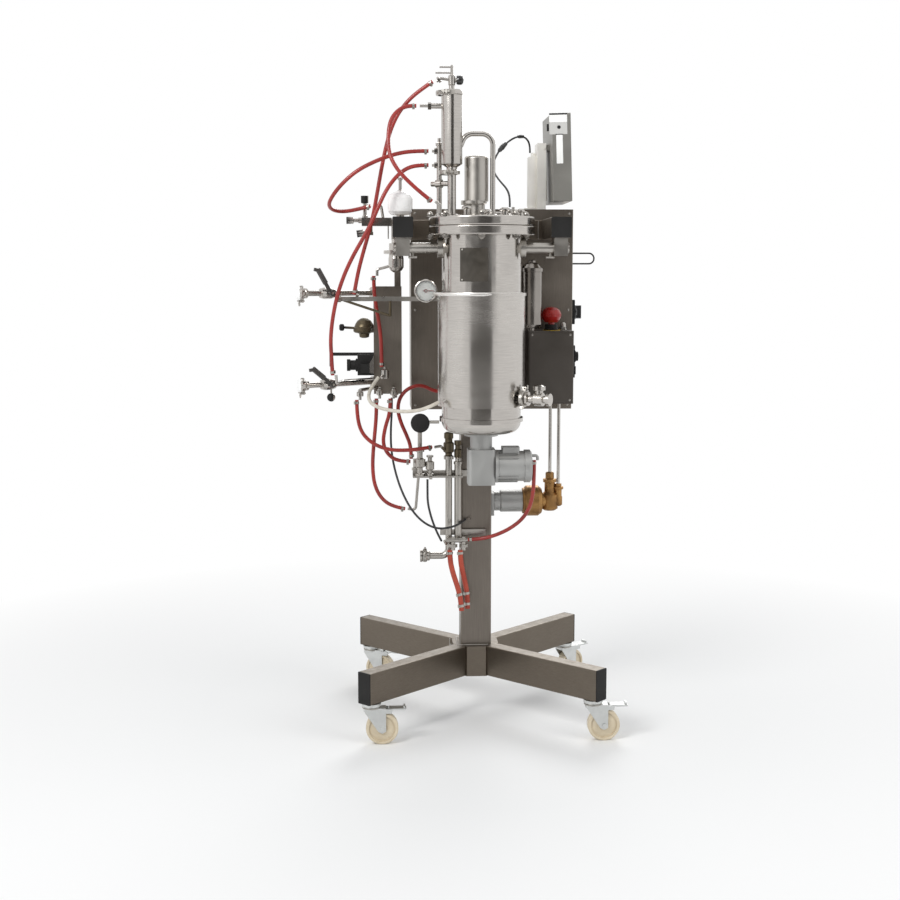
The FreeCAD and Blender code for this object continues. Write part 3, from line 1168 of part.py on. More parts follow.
def regulator():
    """Strainer and regulator hanging under the left rail, feeding the panel hose."""
    end, way = route_end("panel_hose")
    top = Vector(-RAIL_X - 18, -96, COLUMN_TOP)
    body = turned([(14, 0), (14, 12), (22, 14), (22, 34), (39, 36), (39, 46), (22, 48), (24, 62),
                   (24, 88), (18, 98), (9, 104)], top, DOWN)
    outlet = Vector(top.x, top.y, end.z + 22)
    feed = bent_rod([end, end + way * 20, outlet + UP * 14], 4.5, 8)
    return joined([body, feed])


def lower_tail(end, way):
    """Hose tail under the valve panel, on a short block that is fixed to the panel."""
    root = end + way * 16
    tail = rod(end, root, 4.5)
    body = turned([(7, 0), (11, 2), (11, 14), (7, 16), (7, 22)], root - way * 6, way)
    head = root + way * 14
    face = Vector(max(min(head.x, PANEL_PLATE_RIGHT - 10), PANEL_PLATE_LEFT + 10),
                  -PANEL_PLATE_FRONT, head.z + 4)
    link = rod(head, face, 6)
    return joined([tail, body, link])


def panel_elbow(end, way, braid, braid_way):
    """Fitting on the panel's face where the panel hose ends and the braided hose starts."""
    heart = end + way * 22
    body = turned([(8, -15), (13, -12), (13, 12), (8, 15)], heart)
    upper = rod(end, heart, 4.5)
    lower = bent_rod([braid, braid + braid_way * 14, heart], 4.5, 3)
    link = rod(heart, Vector(heart.x, -PANEL_PLATE_FRONT, heart.z), 9)
    return joined([body, upper, lower, link])


def pressure_gauge():
    """Dial gauge on the hose rail; the needle turns on its pin."""
    depth = HOSE_RAIL_SECTION[0]
    back = HOSE_RAIL_Y - depth / 2
    face = Vector(GAUGE_X, back - GAUGE_DEPTH, GAUGE_HEIGHT)
    case = turned([(GAUGE_RADIUS - 5, 0), (GAUGE_RADIUS - 4, 3), (GAUGE_RADIUS, 5),
                   (GAUGE_RADIUS, GAUGE_DEPTH - 7), (GAUGE_RADIUS - 3, GAUGE_DEPTH)],
                  Vector(GAUGE_X, back, GAUGE_HEIGHT), FRONT)
    well = rod(face + FRONT, face + BACK * 9, GAUGE_RADIUS - 4)
    pin = rod(face + BACK * 10, face + BACK * 4, NEEDLE_PIN_RADIUS)
    return [joined([case.cut(well), pin])]


def needle_place():
    return Vector(GAUGE_X, HOSE_RAIL_Y - HOSE_RAIL_SECTION[0] / 2 - GAUGE_DEPTH + 9, GAUGE_HEIGHT)


def gauge_needle():
    at = needle_place() + FRONT * TOUCH
    hub = rod(at, at + FRONT * 3, NEEDLE_PIN_RADIUS + 2.5)
    pointer = span((at.x - 10, at.x + GAUGE_RADIUS - 12), (at.y - 2, at.y - 0.8),
                   (at.z - 1.2, at.z + 1.2))
    bore = rod(at + BACK, at + FRONT * 6, NEEDLE_PIN_RADIUS + RUNNING)
    return [joined([hub, pointer]).cut(bore)]


# ---------------------------------------------------------------- lower pipework
def lower_manifold():
    """Upright pipes at the column, their bar, the drain nozzle and the small tails."""
    left = Vector(RISE_LEFT_X, RISE_Y, 0)
    right = Vector(RISE_RIGHT_X, RISE_Y, 0)
    bar = rounded_box((-207, 30), (RISE_Y + RISE_RADIUS, -COLUMN_SIDE / 2), (MANIFOLD_HEIGHT - 8,
                      MANIFOLD_HEIGHT + 12), 2, BACK)
    shelf = span((-207, -46), (RISE_Y - 20, RISE_Y + RISE_RADIUS + 4), (MANIFOLD_HEIGHT - 8,
                 MANIFOLD_HEIGHT - 2))
    low_bar = span((-118, 30), (RISE_Y + RISE_RADIUS - 2, -COLUMN_SIDE / 2), (600, 618))
    drain_start = Vector(left.x, left.y, MANIFOLD_HEIGHT + 58)
    drain = bent_rod([drain_start, Vector(left.x, left.y, DRAIN_HEIGHT),
                      Vector(left.x - 60, left.y, DRAIN_HEIGHT)], RISE_RADIUS, 24)
    nozzle = turned([(RISE_RADIUS, 0), (RISE_RADIUS + 5, 3), (RISE_RADIUS + 5, 11),
                     (RISE_RADIUS, 14), (RISE_RADIUS, 22), (RISE_RADIUS + 9, 26),
                     (RISE_RADIUS + 9, 33)],
                    Vector(left.x - 60, left.y, DRAIN_HEIGHT), LEFT)
    bright = rod(Vector(right.x, right.y, 588), Vector(right.x, right.y, MANIFOLD_HEIGHT + 38),
                 RISE_RADIUS + 1)
    caps = [turned([(16, 0), (16, 10), (11, 13), (11, 20), (17, 24), (17, 52), (12, 56), (12, 66),
                    (15, 68), (15, 84), (9, 88)], Vector(left.x, left.y, MANIFOLD_HEIGHT + 50)),
            turned([(14, 0), (14, 8), (9, 10), (9, 18), (12.5, 22), (12.5, 46), (9, 50), (9, 60),
                    (12, 62), (12, 76)], Vector(right.x, right.y, MANIFOLD_HEIGHT + 34))]

    tails = []
    for name in ("drain_hose_left", "drain_hose_right"):
        end, way = route_end(name)
        tails.append(rod(end, Vector(end.x, end.y, 0) + UP * (end.z + 44), 6.5))
        tails.append(hexagon(end + UP * 10, UP, 24, 10))
    header = rod(Vector(-100, -96, 590), Vector(-36, -96, 590), 9)
    cross_end, cross_way = route_end("cross_hose", last=True)
    tails.append(rod(cross_end, cross_end + cross_way * 22, 4.5))

    post = standing_valve(Vector(POST_X, RISE_Y - 8, MANIFOLD_HEIGHT - 2), UP, 84, 18)
    second = standing_valve(Vector(-152, RISE_Y - 8, MANIFOLD_HEIGHT - 2), UP, 66, 14)
    ends = []
    for name in ("lower_hose", "inner_hose", "loop_hose"):
        end, way = route_end(name, last=True)
        ends.append((end, way))
    lower, inner, loop = ends
    feed = bent_rod([lower[0], lower[0] + lower[1] * 22,
                     Vector(left.x, left.y, MANIFOLD_HEIGHT + 66)], 4.5, 8)
    entry = rod(inner[0], inner[0] + inner[1] * 24, 4.5)
    hang = bent_rod([loop[0], loop[0] + loop[1] * 26,
                     Vector(loop[0].x + 34, RISE_Y - 10, MANIFOLD_HEIGHT - 4)], 4.5, 10)
    cable_end, cable_way = route_end("short_cable")
    inlet = rod(cable_end, Vector(cable_end.x, cable_end.y, MANIFOLD_HEIGHT - 4), 5)
    arch_end, arch_way = route_end("arch_hose")
    arch_foot = Vector(arch_end.x, arch_end.y, MANIFOLD_HEIGHT + 6)
    arch_tail = joined([rod(arch_foot, arch_end, 4.5), hexagon(arch_foot + UP * 6, UP, 15, 9)])
    drop_end, drop_way = route_end("short_cable", last=True)
    outlet = rod(drop_end, drop_end + drop_way * 16, 5)
    body = joined([bar, shelf, drain, nozzle, bright, low_bar, header, post, second, feed, entry,
                   hang, inlet, outlet, arch_tail] + caps + tails)
    return [joined([body, setting_valve()])]


def setting_valve():
    """Valve body above the left post, with the socket of its setting knob."""
    heart = Vector(POST_X, RISE_Y - 8, KNOB_HEIGHT)
    post = rod(Vector(heart.x, heart.y, MANIFOLD_HEIGHT + 70), heart, 7)
    body = turned([(15, -20), (18, -16), (18, 10), (13, 12), (13, 18)], heart, FRONT)
    arm = rod(heart, heart + RIGHT * 62, 5)
    socket = rod(heart + FRONT * 4, heart + FRONT * 19, KNOB_STEM_RADIUS + RUNNING)
    return joined([post, body, arm]).cut(socket)


def manifold_knob():
    """Round black setting knob at the front of its valve."""
    face = Vector(POST_X, RISE_Y - 26 - TOUCH, KNOB_HEIGHT)
    knob = turned([(16, 0), (28, 3), (30, 7), (30, 20), (27, 23), (14, 24)], face, FRONT)
    stem = rod(face + BACK * 12, face + FRONT * 4, KNOB_STEM_RADIUS)
    return [joined([knob, stem])]


def sample_valve():
    """Sampling valve on the jacket's lower right, closed with a clamped cap."""
    turn = math.radians(-32)
    way = Vector(math.cos(turn), math.sin(turn), 0)
    jacket = Part.makeCylinder(JACKET_RADIUS, JACKET_TOP, Vector(0, VESSEL_Y, 0))
    foot = Vector(0, VESSEL_Y, JACKET_BOTTOM + 26)
    r = JACKET_RADIUS
    body = turned([(10, r - 12), (10, r + 14), (21, r + 16), (21, r + 28), (12, r + 32),
                   (12, r + 44), (20, r + 50), (20, r + 76), (12, r + 82), (12, r + 88),
                   (19, r + 90), (19, r + 100)], foot, way)
    centre = foot + way * (r + 63)
    bonnet = turned([(12, 0), (12, 26), (19, 28), (19, 40), (10, 44)], centre)
    return [joined([body, bonnet]).cut(jacket)]


NODES = {
    "base_frame": base_frame,
    "end_caps": end_caps,
    "column": column,
    "support_fork": support_fork,
    "vessel_shell": vessel_shell,
    "vessel_jacket": vessel_jacket,
    "vessel_mounts": vessel_mounts,
    "lid": lid,
    "lid_fittings": lid_fittings,
    "foam_breaker": foam_breaker,
    "condenser": condenser,
    "condenser_knob": condenser_knob,
    "agitator": agitator,
    "drive_unit": drive_unit,
    "utility_cabinet": utility_cabinet,
    "terminal_box": terminal_box,
    "air_filter": air_filter,
    "panel_post": panel_post,
    "control_panel": control_panel,
    "emergency_stop": emergency_stop,
    "cabinet_fittings": cabinet_fittings,
    "main_switch": main_switch,
    "circulation_pump": circulation_pump,
    "valve_panel": valve_panel,
    "side_valves": side_valves,
    "upper_lever": lambda: valve_lever(UPPER_VALVE_HEIGHT, 57),
    "lower_lever": lambda: valve_lever(LOWER_VALVE_HEIGHT, 37),
    "pressure_gauge": pressure_gauge,
    "gauge_needle": gauge_needle,
    "lower_manifold": lower_manifold,
    "manifold_knob": manifold_knob,
    "sample_valve": sample_valve,
}


def save(name, solids):
    """Write one node, moved into the part's frame."""
    solids = [s for shape in solids for s in shape.Solids]
    for solid in solids:
        if not solid.isValid() or solid.Volume <= 0:
            print("BAD SOLID in", name)
    whole = Part.makeCompound(solids) if len(solids) > 1 else solids[0]
    whole = whole.copy()
    whole.translate(Vector(COLUMN_X, COLUMN_Y, 0))
    whole.exportStep(f"parts/{name}.step")
    print(f"{name}: {len(solids)} solids, {whole.Volume / 1e3:.1f} cm3")


def main():
    os.makedirs("parts", exist_ok=True)
    for name, make in NODES.items():
        save(name, make())
    for number, (place, heading) in enumerate(caster_places(), 1):
        save(f"caster_fork_{number}", [at_caster(caster_fork(), place, heading)])
        save(f"caster_wheel_{number}", [at_caster(caster_wheel(), place, heading)])
        save(f"caster_pedal_{number}", [at_caster(caster_pedal(), place, heading)])
    for name in ROUTES:
        save(name, [hose(name)])


main()
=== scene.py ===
# %% [markdown]
# # A mobile pilot bioreactor
# The unit is a polished steel vessel held in a fork on one square column. A cross base
# on casters carries it, a valve panel and a tangle of red hoses sit on its left, and a
# cabinet, a filter and a tilting terminal on its right. The solid parts come from a CAD
# model, so this lesson spends its effort on what CAD leaves out: finishes, hoses, small
# fasteners, glass and light.

import json
import math
import bmesh
import bpy
from mathutils import Matrix, Vector


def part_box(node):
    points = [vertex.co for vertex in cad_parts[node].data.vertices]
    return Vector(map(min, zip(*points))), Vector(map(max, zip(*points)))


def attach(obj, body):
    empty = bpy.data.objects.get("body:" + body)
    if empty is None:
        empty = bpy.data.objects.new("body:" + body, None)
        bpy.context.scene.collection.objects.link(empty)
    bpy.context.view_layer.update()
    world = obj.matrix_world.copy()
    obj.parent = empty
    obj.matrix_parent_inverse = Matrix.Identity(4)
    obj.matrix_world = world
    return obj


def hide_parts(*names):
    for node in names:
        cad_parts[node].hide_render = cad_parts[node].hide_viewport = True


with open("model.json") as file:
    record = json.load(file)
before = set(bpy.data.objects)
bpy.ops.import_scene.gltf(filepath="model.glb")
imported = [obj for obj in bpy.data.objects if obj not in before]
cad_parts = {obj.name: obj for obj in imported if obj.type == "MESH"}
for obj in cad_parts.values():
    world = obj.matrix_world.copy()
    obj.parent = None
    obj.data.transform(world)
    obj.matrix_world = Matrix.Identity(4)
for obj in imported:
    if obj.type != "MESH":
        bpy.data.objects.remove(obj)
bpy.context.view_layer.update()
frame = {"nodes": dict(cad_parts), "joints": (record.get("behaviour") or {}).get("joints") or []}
nodes = frame["nodes"]
print("solid parts loaded:", len(nodes))

# %% [markdown]
# The drawings of the real unit are made about the foot of its column, so one helper turns
# such a place, in metres, into a place in the scene. The column's own box says where its
# foot is; the gland on its front face is why the back face is the one measured.

# %% Where the column stands
COLUMN_SIDE = 0.1
column_low, column_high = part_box("column")
FOOT = Vector(((column_low.x + column_high.x) / 2, column_high.y - COLUMN_SIDE / 2, 0))
VESSEL_Y = -0.25


def at(x, y, z):
    """A place given from the foot of the column."""
    return FOOT + Vector((x, y, z))


def level_way(degrees):
    """A level direction, counted from X towards Y."""
    turn = math.radians(degrees)
    return Vector((math.cos(turn), math.sin(turn), 0))


def add_object(name, data):
    """A new object in the scene."""
    made = bpy.data.objects.new(name, data)
    bpy.context.scene.collection.objects.link(made)
    return made


shift = Matrix.Translation
X, Y, Z = Vector((1, 0, 0)), Vector((0, 1, 0)), Vector((0, 0, 1))
print("column foot:", tuple(round(v, 4) for v in FOOT))

# %% [markdown]
# ## Camera
# A long lens at a standing person's eye height keeps the upright edges calm. The camera
# looks a little down and a little to the right, to the middle of the unit, so no lens shift
# is needed and every other view of the unit is centred too.

# %% Camera
EYE_HEIGHT = 1.43
EYE_DISTANCE = 4.55
EYE_OFFSET = -0.318
EYE_DOWN = math.radians(7.0)
EYE_TURN = math.radians(3.09)
LENS = 56.1

camera_data = bpy.data.cameras.new("eye")
camera_data.sensor_width = 36.0
camera_data.lens = LENS
camera_data.clip_end = 100.0
camera = add_object("eye", camera_data)
camera.location = at(EYE_OFFSET, -EYE_DISTANCE, EYE_HEIGHT)
camera.rotation_euler = (math.radians(90.0) - EYE_DOWN, 0, -EYE_TURN)
bpy.context.scene.camera = camera
bpy.context.scene.view_settings.view_transform = "Standard"
print("camera at", tuple(round(v, 2) for v in camera.location))

# %% [markdown]
# ## Studio
# The room is white and evenly lit. The world gives a plain grey-white light to the
# surfaces, while the camera, glossy and transmission rays see a clean white backdrop, so
# polished steel mirrors white as it would in a light tent. Three large soft lamps give the
# shapes a lit side and a shaded side; the fill is hidden from glossy rays, as its own bright
# disc would stand as a hard stripe on every cylinder.


# %% World
def set_inputs(node, values):
    """Give a node's sockets their plain values."""
    for socket, value in values.items():
        node.inputs[socket].default_value = value


def combine(tree, operation, first, second):
    """A math node on two sockets."""
    node = tree.nodes.new("ShaderNodeMath")
    node.operation = operation
    tree.links.new(first, node.inputs[0])
    tree.links.new(second, node.inputs[1])
    return node.outputs[0]


def make_world():
    world = bpy.data.worlds.new("light_tent")
    world.use_nodes = True
    tree = world.node_tree
    tree.nodes.clear()
    rays = tree.nodes.new("ShaderNodeLightPath").outputs
    seen = combine(tree, "MAXIMUM", rays["Is Camera Ray"], rays["Is Glossy Ray"])
    seen = combine(tree, "MAXIMUM", seen, rays["Is Transmission Ray"])
    mix = tree.nodes.new("ShaderNodeMixShader")
    tree.links.new(seen, mix.inputs[0])
    for slot, color, strength in ((1, (0.96, 0.98, 1.0, 1), 0.55), (2, (1, 1, 1, 1), 1.0)):
        light = tree.nodes.new("ShaderNodeBackground")
        set_inputs(light, {"Color": color, "Strength": strength})
        tree.links.new(light.outputs[0], mix.inputs[slot])
    out = tree.nodes.new("ShaderNodeOutputWorld")
    tree.links.new(mix.outputs[0], out.inputs["Surface"])
    bpy.context.scene.world = world
    return world


print("world:", make_world().name)


# %% Lamps
def soft_lamp(name, place, aim, size, watts):
    data = bpy.data.lights.new(name, "AREA")
    data.shape = "DISK"
    data.size = size
    data.energy = watts
    lamp = add_object(name, data)
    lamp.location = place
    lamp.rotation_euler = (aim - place).to_track_quat("-Z", "Y").to_euler()
    return lamp


CHEST = at(0, -0.1, 1.25)
soft_lamp("key_lamp", at(-2.6, -3.0, 3.6), CHEST, 1.8, 105)
fill = soft_lamp("fill_lamp", at(3.0, -2.4, 2.2), CHEST, 2.6, 46)
fill.visible_glossy = False
soft_lamp("back_lamp", at(0.8, 3.2, 3.2), CHEST, 2.2, 60)

# %% [markdown]
# ## Shared effects
# Many of the finishes differ only in colour and gloss but share the same small faults: the
# fine lines of a brushing belt, the clouding that hands and cleaning cloths leave, and dust
# that settles on upward faces. Each fault is one node group that gives out a value, and each
# material takes it with its own strength.


# %% Group builder
def new_group(name, label, kind, value, result):
    """An empty node group with one input, one float output and its two end nodes."""
    group = bpy.data.node_groups.new(name, "ShaderNodeTree")
    socket = group.interface.new_socket(name=label, in_out="INPUT", socket_type=kind)
    socket.default_value = value
    group.interface.new_socket(name=result, in_out="OUTPUT", socket_type="NodeSocketFloat")
    return group, group.nodes.new("NodeGroupInput"), group.nodes.new("NodeGroupOutput")


def noise(tree, vector, scale, detail, roughness=0.6):
    node = tree.nodes.new("ShaderNodeTexNoise")
    set_inputs(node, {"Scale": scale, "Detail": detail, "Roughness": roughness})
    tree.links.new(vector, node.inputs["Vector"])
    return node.outputs["Fac"]


def remap(tree, value, low, high, to_low=0.0, to_high=1.0):
    node = tree.nodes.new("ShaderNodeMapRange")
    set_inputs(node, {"From Min": low, "From Max": high, "To Min": to_low, "To Max": to_high})
    tree.links.new(value, node.inputs["Value"])
    return node.outputs["Result"]


# %% Brushed grain
def make_brushed_grain():
    """Fine parallel lines; Stretch is long along the brushing and short across it."""
    group, first, last = new_group("brushed_grain", "Stretch", "NodeSocketVector",
                                   (60, 60, 1.5), "Lines")
    place = group.nodes.new("ShaderNodeTexCoord")
    scaled = group.nodes.new("ShaderNodeVectorMath")
    scaled.operation = "MULTIPLY"
    group.links.new(place.outputs["Object"], scaled.inputs[0])
    group.links.new(first.outputs["Stretch"], scaled.inputs[1])
    lines = noise(group, scaled.outputs[0], 9.0, 4.0, 0.7)
    group.links.new(remap(group, lines, 0.3, 0.7), last.inputs["Lines"])
    return group


BRUSHED_GRAIN = make_brushed_grain()
print("group:", BRUSHED_GRAIN.name)


# %% Clouding
def make_clouding():
    """Soft patches where gloss changes, as cloths and hands leave them."""
    group, first, last = new_group("clouding", "Scale", "NodeSocketFloat", 6.0, "Patches")
    place = group.nodes.new("ShaderNodeTexCoord")
    node = group.nodes.new("ShaderNodeTexNoise")
    set_inputs(node, {"Detail": 5.0, "Distortion": 0.6})
    group.links.new(place.outputs["Object"], node.inputs["Vector"])
    group.links.new(first.outputs["Scale"], node.inputs["Scale"])
    group.links.new(remap(group, node.outputs["Fac"], 0.35, 0.68), last.inputs["Patches"])
    return group


CLOUDING = make_clouding()
print("group:", CLOUDING.name)


# %% Settled dust
def make_dust():
    """More on faces that look up, broken by noise."""
    group, first, last = new_group("settled_dust", "Amount", "NodeSocketFloat", 0.3, "Mask")
    place = group.nodes.new("ShaderNodeTexCoord")
    face = group.nodes.new("ShaderNodeNewGeometry")
    split = group.nodes.new("ShaderNodeSeparateXYZ")
    group.links.new(face.outputs["Normal"], split.inputs[0])
    up = remap(group, split.outputs["Z"], 0.2, 1.0)
    specks = remap(group, noise(group, place.outputs["Object"], 38.0, 6.0), 0.4, 0.75, 0.2, 1.0)
    both = combine(group, "MULTIPLY", up, specks)
    group.links.new(combine(group, "MULTIPLY", both, first.outputs["Amount"]), last.inputs["Mask"])
    return group


SETTLED_DUST = make_dust()
print("group:", SETTLED_DUST.name)

# %% [markdown]
# ## Finishes
# One builder makes every finish from a short description: colour, gloss, how metallic it
# is, and how much of each shared fault it shows. Numbers that are the same all over the
# surface sit on the shader's own sockets; only what changes over the surface is linked.


# %% Finish builder
def new_material(name):
    """A material, its node tree and its Principled shader."""
    material = bpy.data.materials.new(name)
    material.use_nodes = True
    tree = material.node_tree
    return material, tree, tree.nodes["Principled BSDF"]


def place_group(tree, group, **values):
    node = tree.nodes.new("ShaderNodeGroup")
    node.node_tree = group
    set_inputs(node, values)
    return node.outputs[0]


def mix_colors(tree, factor, first, second):
    node = tree.nodes.new("ShaderNodeMix")
    node.data_type = "RGBA"
    tree.links.new(factor, node.inputs["Factor"])
    for socket, value in ((node.inputs["A"], first), (node.inputs["B"], second)):
        if isinstance(value, tuple):
            socket.default_value = (*value, 1)
        else:
            tree.links.new(value, socket)
    return node.outputs["Result"]


DUST_COLOR = (0.46, 0.43, 0.38)


def finish(name, color, roughness, metallic=0.0, worn=None, stretch=None, clouds=0.0,
           patch=6.0, grain=0.0, dust=0.0, bump=0.0, coat=0.0, speckle=220.0, shine=0.5):
    """A Principled material; worn is the colour that the patches lead to."""
    material, tree, shader = new_material(name)
    set_inputs(shader, {"Metallic": metallic, "Specular IOR Level": shine, "Coat Weight": coat,
                        "Coat Roughness": 0.12})
    patches = place_group(tree, CLOUDING, Scale=patch)
    worn = worn or tuple(min(1.0, c * 1.16 + 0.01) for c in color)
    tint = mix_colors(tree, remap(tree, patches, 0.0, 1.0, 0.0, 0.9), color, worn)
    gloss = remap(tree, patches, 0.0, 1.0, roughness, roughness + clouds)
    if stretch:
        lines = place_group(tree, BRUSHED_GRAIN, Stretch=stretch)
        change = remap(tree, lines, 0.0, 1.0, -grain / 2, grain / 2)
        gloss = combine(tree, "ADD", gloss, change)
        dark = tuple(c * 0.84 for c in color)
        tint = mix_colors(tree, remap(tree, lines, 0.0, 1.0, 0.0, 0.75), tint, dark)
    if dust:
        mask = place_group(tree, SETTLED_DUST, Amount=dust)
        tint = mix_colors(tree, mask, tint, DUST_COLOR)
    tree.links.new(tint, shader.inputs["Base Color"])
    tree.links.new(gloss, shader.inputs["Roughness"])
    if bump:
        place = tree.nodes.new("ShaderNodeTexCoord")
        lift = tree.nodes.new("ShaderNodeBump")
        set_inputs(lift, {"Strength": bump, "Distance": 0.0006})
        height = lines if stretch else noise(tree, place.outputs["Object"], speckle, 4.0)
        tree.links.new(height, lift.inputs["Height"])
        tree.links.new(lift.outputs["Normal"], shader.inputs["Normal"])
    return material


# %% [markdown]
# The vessel and its lid gear are polished almost to a mirror, small fittings are satin, the
# frame is belt-brushed and darker, and the cabinet is plain brushed sheet. Brushing runs
# along each tube, which is why there is one frame finish for upright parts and one for
# level ones. Valves, casters, pump and drive bring brass, zinc, bronze and cast metal.

# %% Steels
POLISHED = finish("polished_steel", (0.5, 0.475, 0.445), 0.1, 1.0, clouds=0.1, patch=9,
                  stretch=(3, 3, 55), grain=0.05)
SATIN = finish("satin_steel", (0.4, 0.38, 0.35), 0.26, 1.0, clouds=0.12, patch=14)
JACKET = finish("jacket_steel", (0.52, 0.495, 0.465), 0.17, 1.0, clouds=0.12, patch=5,
                stretch=(2, 2, 70), grain=0.08, bump=0.03)
FRAME_UP = finish("frame_steel_upright", (0.2, 0.176, 0.152), 0.34, 1.0, clouds=0.1,
                  stretch=(70, 70, 1.5), grain=0.16, bump=0.05, dust=0.15)
FRAME_LEVEL = finish("frame_steel_level", (0.17, 0.144, 0.116), 0.36, 1.0, clouds=0.1,
                     stretch=(6, 6, 90), grain=0.16, bump=0.05, dust=0.35)
CABINET = finish("cabinet_sheet", (0.225, 0.197, 0.168), 0.33, 1.0, clouds=0.12,
                 stretch=(80, 80, 2), grain=0.16, bump=0.04)
# The filter's steel is a darker copy of the polished steel: a painted dark reflection on the housing.
FILTER_PAINTED_DARK_STEEL = finish("filter_steel_painted_reflection", (0.27, 0.25, 0.23), 0.16, 1.0, clouds=0.12, patch=12)
# The rim's steel is a lighter copy of the jacket steel: a painted highlight along the rolled rim.
RIM_HIGHLIGHT_STEEL = finish("rim_steel_painted_highlight", (0.72, 0.7, 0.67), 0.22, 1.0, clouds=0.1, patch=9)
DULL_BRASS = finish("dull_brass", (0.105, 0.085, 0.055), 0.36, 1.0, clouds=0.15, patch=24)
ZINC = finish("zinc_plating", (0.6, 0.61, 0.6), 0.28, 1.0, clouds=0.25, patch=30)
BRONZE = finish("cast_bronze", (0.42, 0.235, 0.085), 0.38, 1.0, worn=(0.2, 0.11, 0.05),
                clouds=0.22, patch=22, bump=0.25, speckle=420)
CAST_GREY = finish("drive_housing", (0.36, 0.36, 0.35), 0.42, 0.85, clouds=0.15, bump=0.18,
                   speckle=500, patch=12, dust=0.2)
print("steels and castings ready")

# %% [markdown]
# The rest is plastic, rubber, paint and glass. Red silicone hose is the loudest colour on
# the unit: a soft gloss under a thin clear coat, a little darker where it has aged.

# %% Plastics, rubber, paint
BLACK = finish("black_plastic", (0.011, 0.0105, 0.01), 0.5, clouds=0.12, bump=0.1, shine=0.2)
BLACK_GLOSS = finish("black_gloss", (0.012, 0.012, 0.012), 0.18, clouds=0.08, coat=0.3)
DARK_PAINT = finish("dark_paint", (0.045, 0.037, 0.03), 0.42, 0.2, clouds=0.14, bump=0.06,
                    dust=0.12)
RED_HOSE = finish("red_silicone", (0.32, 0.024, 0.017), 0.32, worn=(0.22, 0.014, 0.011),
                  clouds=0.12, patch=16, coat=0.15)
DRAIN_RED = finish("drain_rubber", (0.4, 0.058, 0.028), 0.42, worn=(0.3, 0.036, 0.018),
                   clouds=0.15, patch=20)
STOP_RED = finish("stop_red", (0.27, 0.006, 0.004), 0.26, clouds=0.1, coat=0.15)
NEEDLE_RED = finish("needle_red", (0.16, 0.012, 0.01), 0.4, clouds=0.1)
STOP_YELLOW = finish("collar_yellow", (0.75, 0.48, 0.02), 0.35, clouds=0.1)
# Cream nylon pulled part way to tan: partly the wheels' own colour, partly painted warm bounce light.
WARM_LIT_NYLON = finish("cream_nylon_warm_lit", (0.66, 0.57, 0.42), 0.32, worn=(0.55, 0.46, 0.32), clouds=0.2,
               patch=25)
PALE_BRAID = finish("pale_braid", (0.62, 0.58, 0.5), 0.5, worn=(0.48, 0.44, 0.38), clouds=0.15,
                    patch=40, bump=0.5, speckle=900)
SHEATH = finish("cable_sheath", (0.014, 0.014, 0.015), 0.45, clouds=0.1)
CASE = finish("terminal_case", (0.235, 0.228, 0.208), 0.38, 0.6, clouds=0.1, bump=0.06)
BRACKET = finish("bracket_paint", (0.84, 0.82, 0.77), 0.42, 0.1, clouds=0.12)
DIAL = finish("dial_white", (0.8, 0.8, 0.77), 0.45, clouds=0.05)
PLATE = finish("plate_dark", (0.036, 0.031, 0.024), 0.36, worn=(0.06, 0.052, 0.042),
               clouds=0.12, patch=24, shine=0.3)
LEVER = finish("lever_cover", (0.06, 0.056, 0.052), 0.36, 0.3, clouds=0.15, patch=30)
CAP_WHITE = finish("cap_white", (0.8, 0.8, 0.79), 0.25, clouds=0.15, patch=30, coat=0.3)
WHITE_PART = finish("white_plastic", (0.82, 0.82, 0.8), 0.36, clouds=0.12, coat=0.1)
PALE_GREY = finish("pale_grey_paint", (0.5, 0.495, 0.475), 0.42, clouds=0.1)
print("plastics ready")


# %% Glass
def clear_glass(name, color, roughness):
    material, tree, shader = new_material(name)
    set_inputs(shader, {"Base Color": (*color, 1), "Transmission Weight": 1.0, "IOR": 1.45})
    patches = place_group(tree, CLOUDING, Scale=20.0)
    tree.links.new(remap(tree, patches, 0.0, 1.0, roughness, roughness + 0.04),
                   shader.inputs["Roughness"])
    return material


GAUGE_GLASS = clear_glass("gauge_glass", (0.98, 0.99, 0.99), 0.01)
print("glass ready")

# %% [markdown]
# The studio floor is a pale sheet, large enough that its far edge melts into the white
# backdrop. Away from the unit it is lit by its own whiteness for the camera, so that no
# horizon line cuts the picture; under the unit it keeps the shadow.


# %% Floor
FLOOR_HALF = 14.0


def sheet(name, corners, material):
    """A flat four-cornered sheet."""
    mesh = bpy.data.meshes.new(name)
    mesh.from_pydata(corners, [], [(0, 1, 2, 3)])
    mesh.materials.append(material)
    return add_object(name, mesh)


def make_floor():
    material, tree, shader = new_material("pale_floor")
    set_inputs(shader, {"Base Color": (0.86, 0.86, 0.855, 1), "Roughness": 0.8})
    place = tree.nodes.new("ShaderNodeTexCoord")
    flat = tree.nodes.new("ShaderNodeVectorMath")
    flat.operation = "DISTANCE"
    flat.inputs[1].default_value = tuple(at(0, 0, 0))
    tree.links.new(place.outputs["Object"], flat.inputs[0])
    glow = tree.nodes.new("ShaderNodeEmission")
    blend = tree.nodes.new("ShaderNodeMixShader")
    far = remap(tree, flat.outputs["Value"], 0.9, 2.6)
    tree.links.new(far, blend.inputs[0])
    tree.links.new(shader.outputs[0], blend.inputs[1])
    tree.links.new(glow.outputs[0], blend.inputs[2])
    tree.links.new(blend.outputs[0], tree.nodes["Material Output"].inputs["Surface"])
    floor = sheet("floor", [tuple(at(x * FLOOR_HALF, y * FLOOR_HALF, 0)) for x, y in
                            ((-1, -1), (1, -1), (1, 1), (-1, 1))], material)
    return floor


print("floor:", make_floor().name)

# %% [markdown]
# Polished steel shows only what stands round it. Behind the camera the lower half of the
# room is dark, so the vessel carries a broad dark stripe down its middle between two white
# edges, and the slim tubes high above it a thin one. Cards give those stripes: wide ones
# low down and a narrow one on top. They are hidden from every ray but the glossy ones, so
# they take no light away.


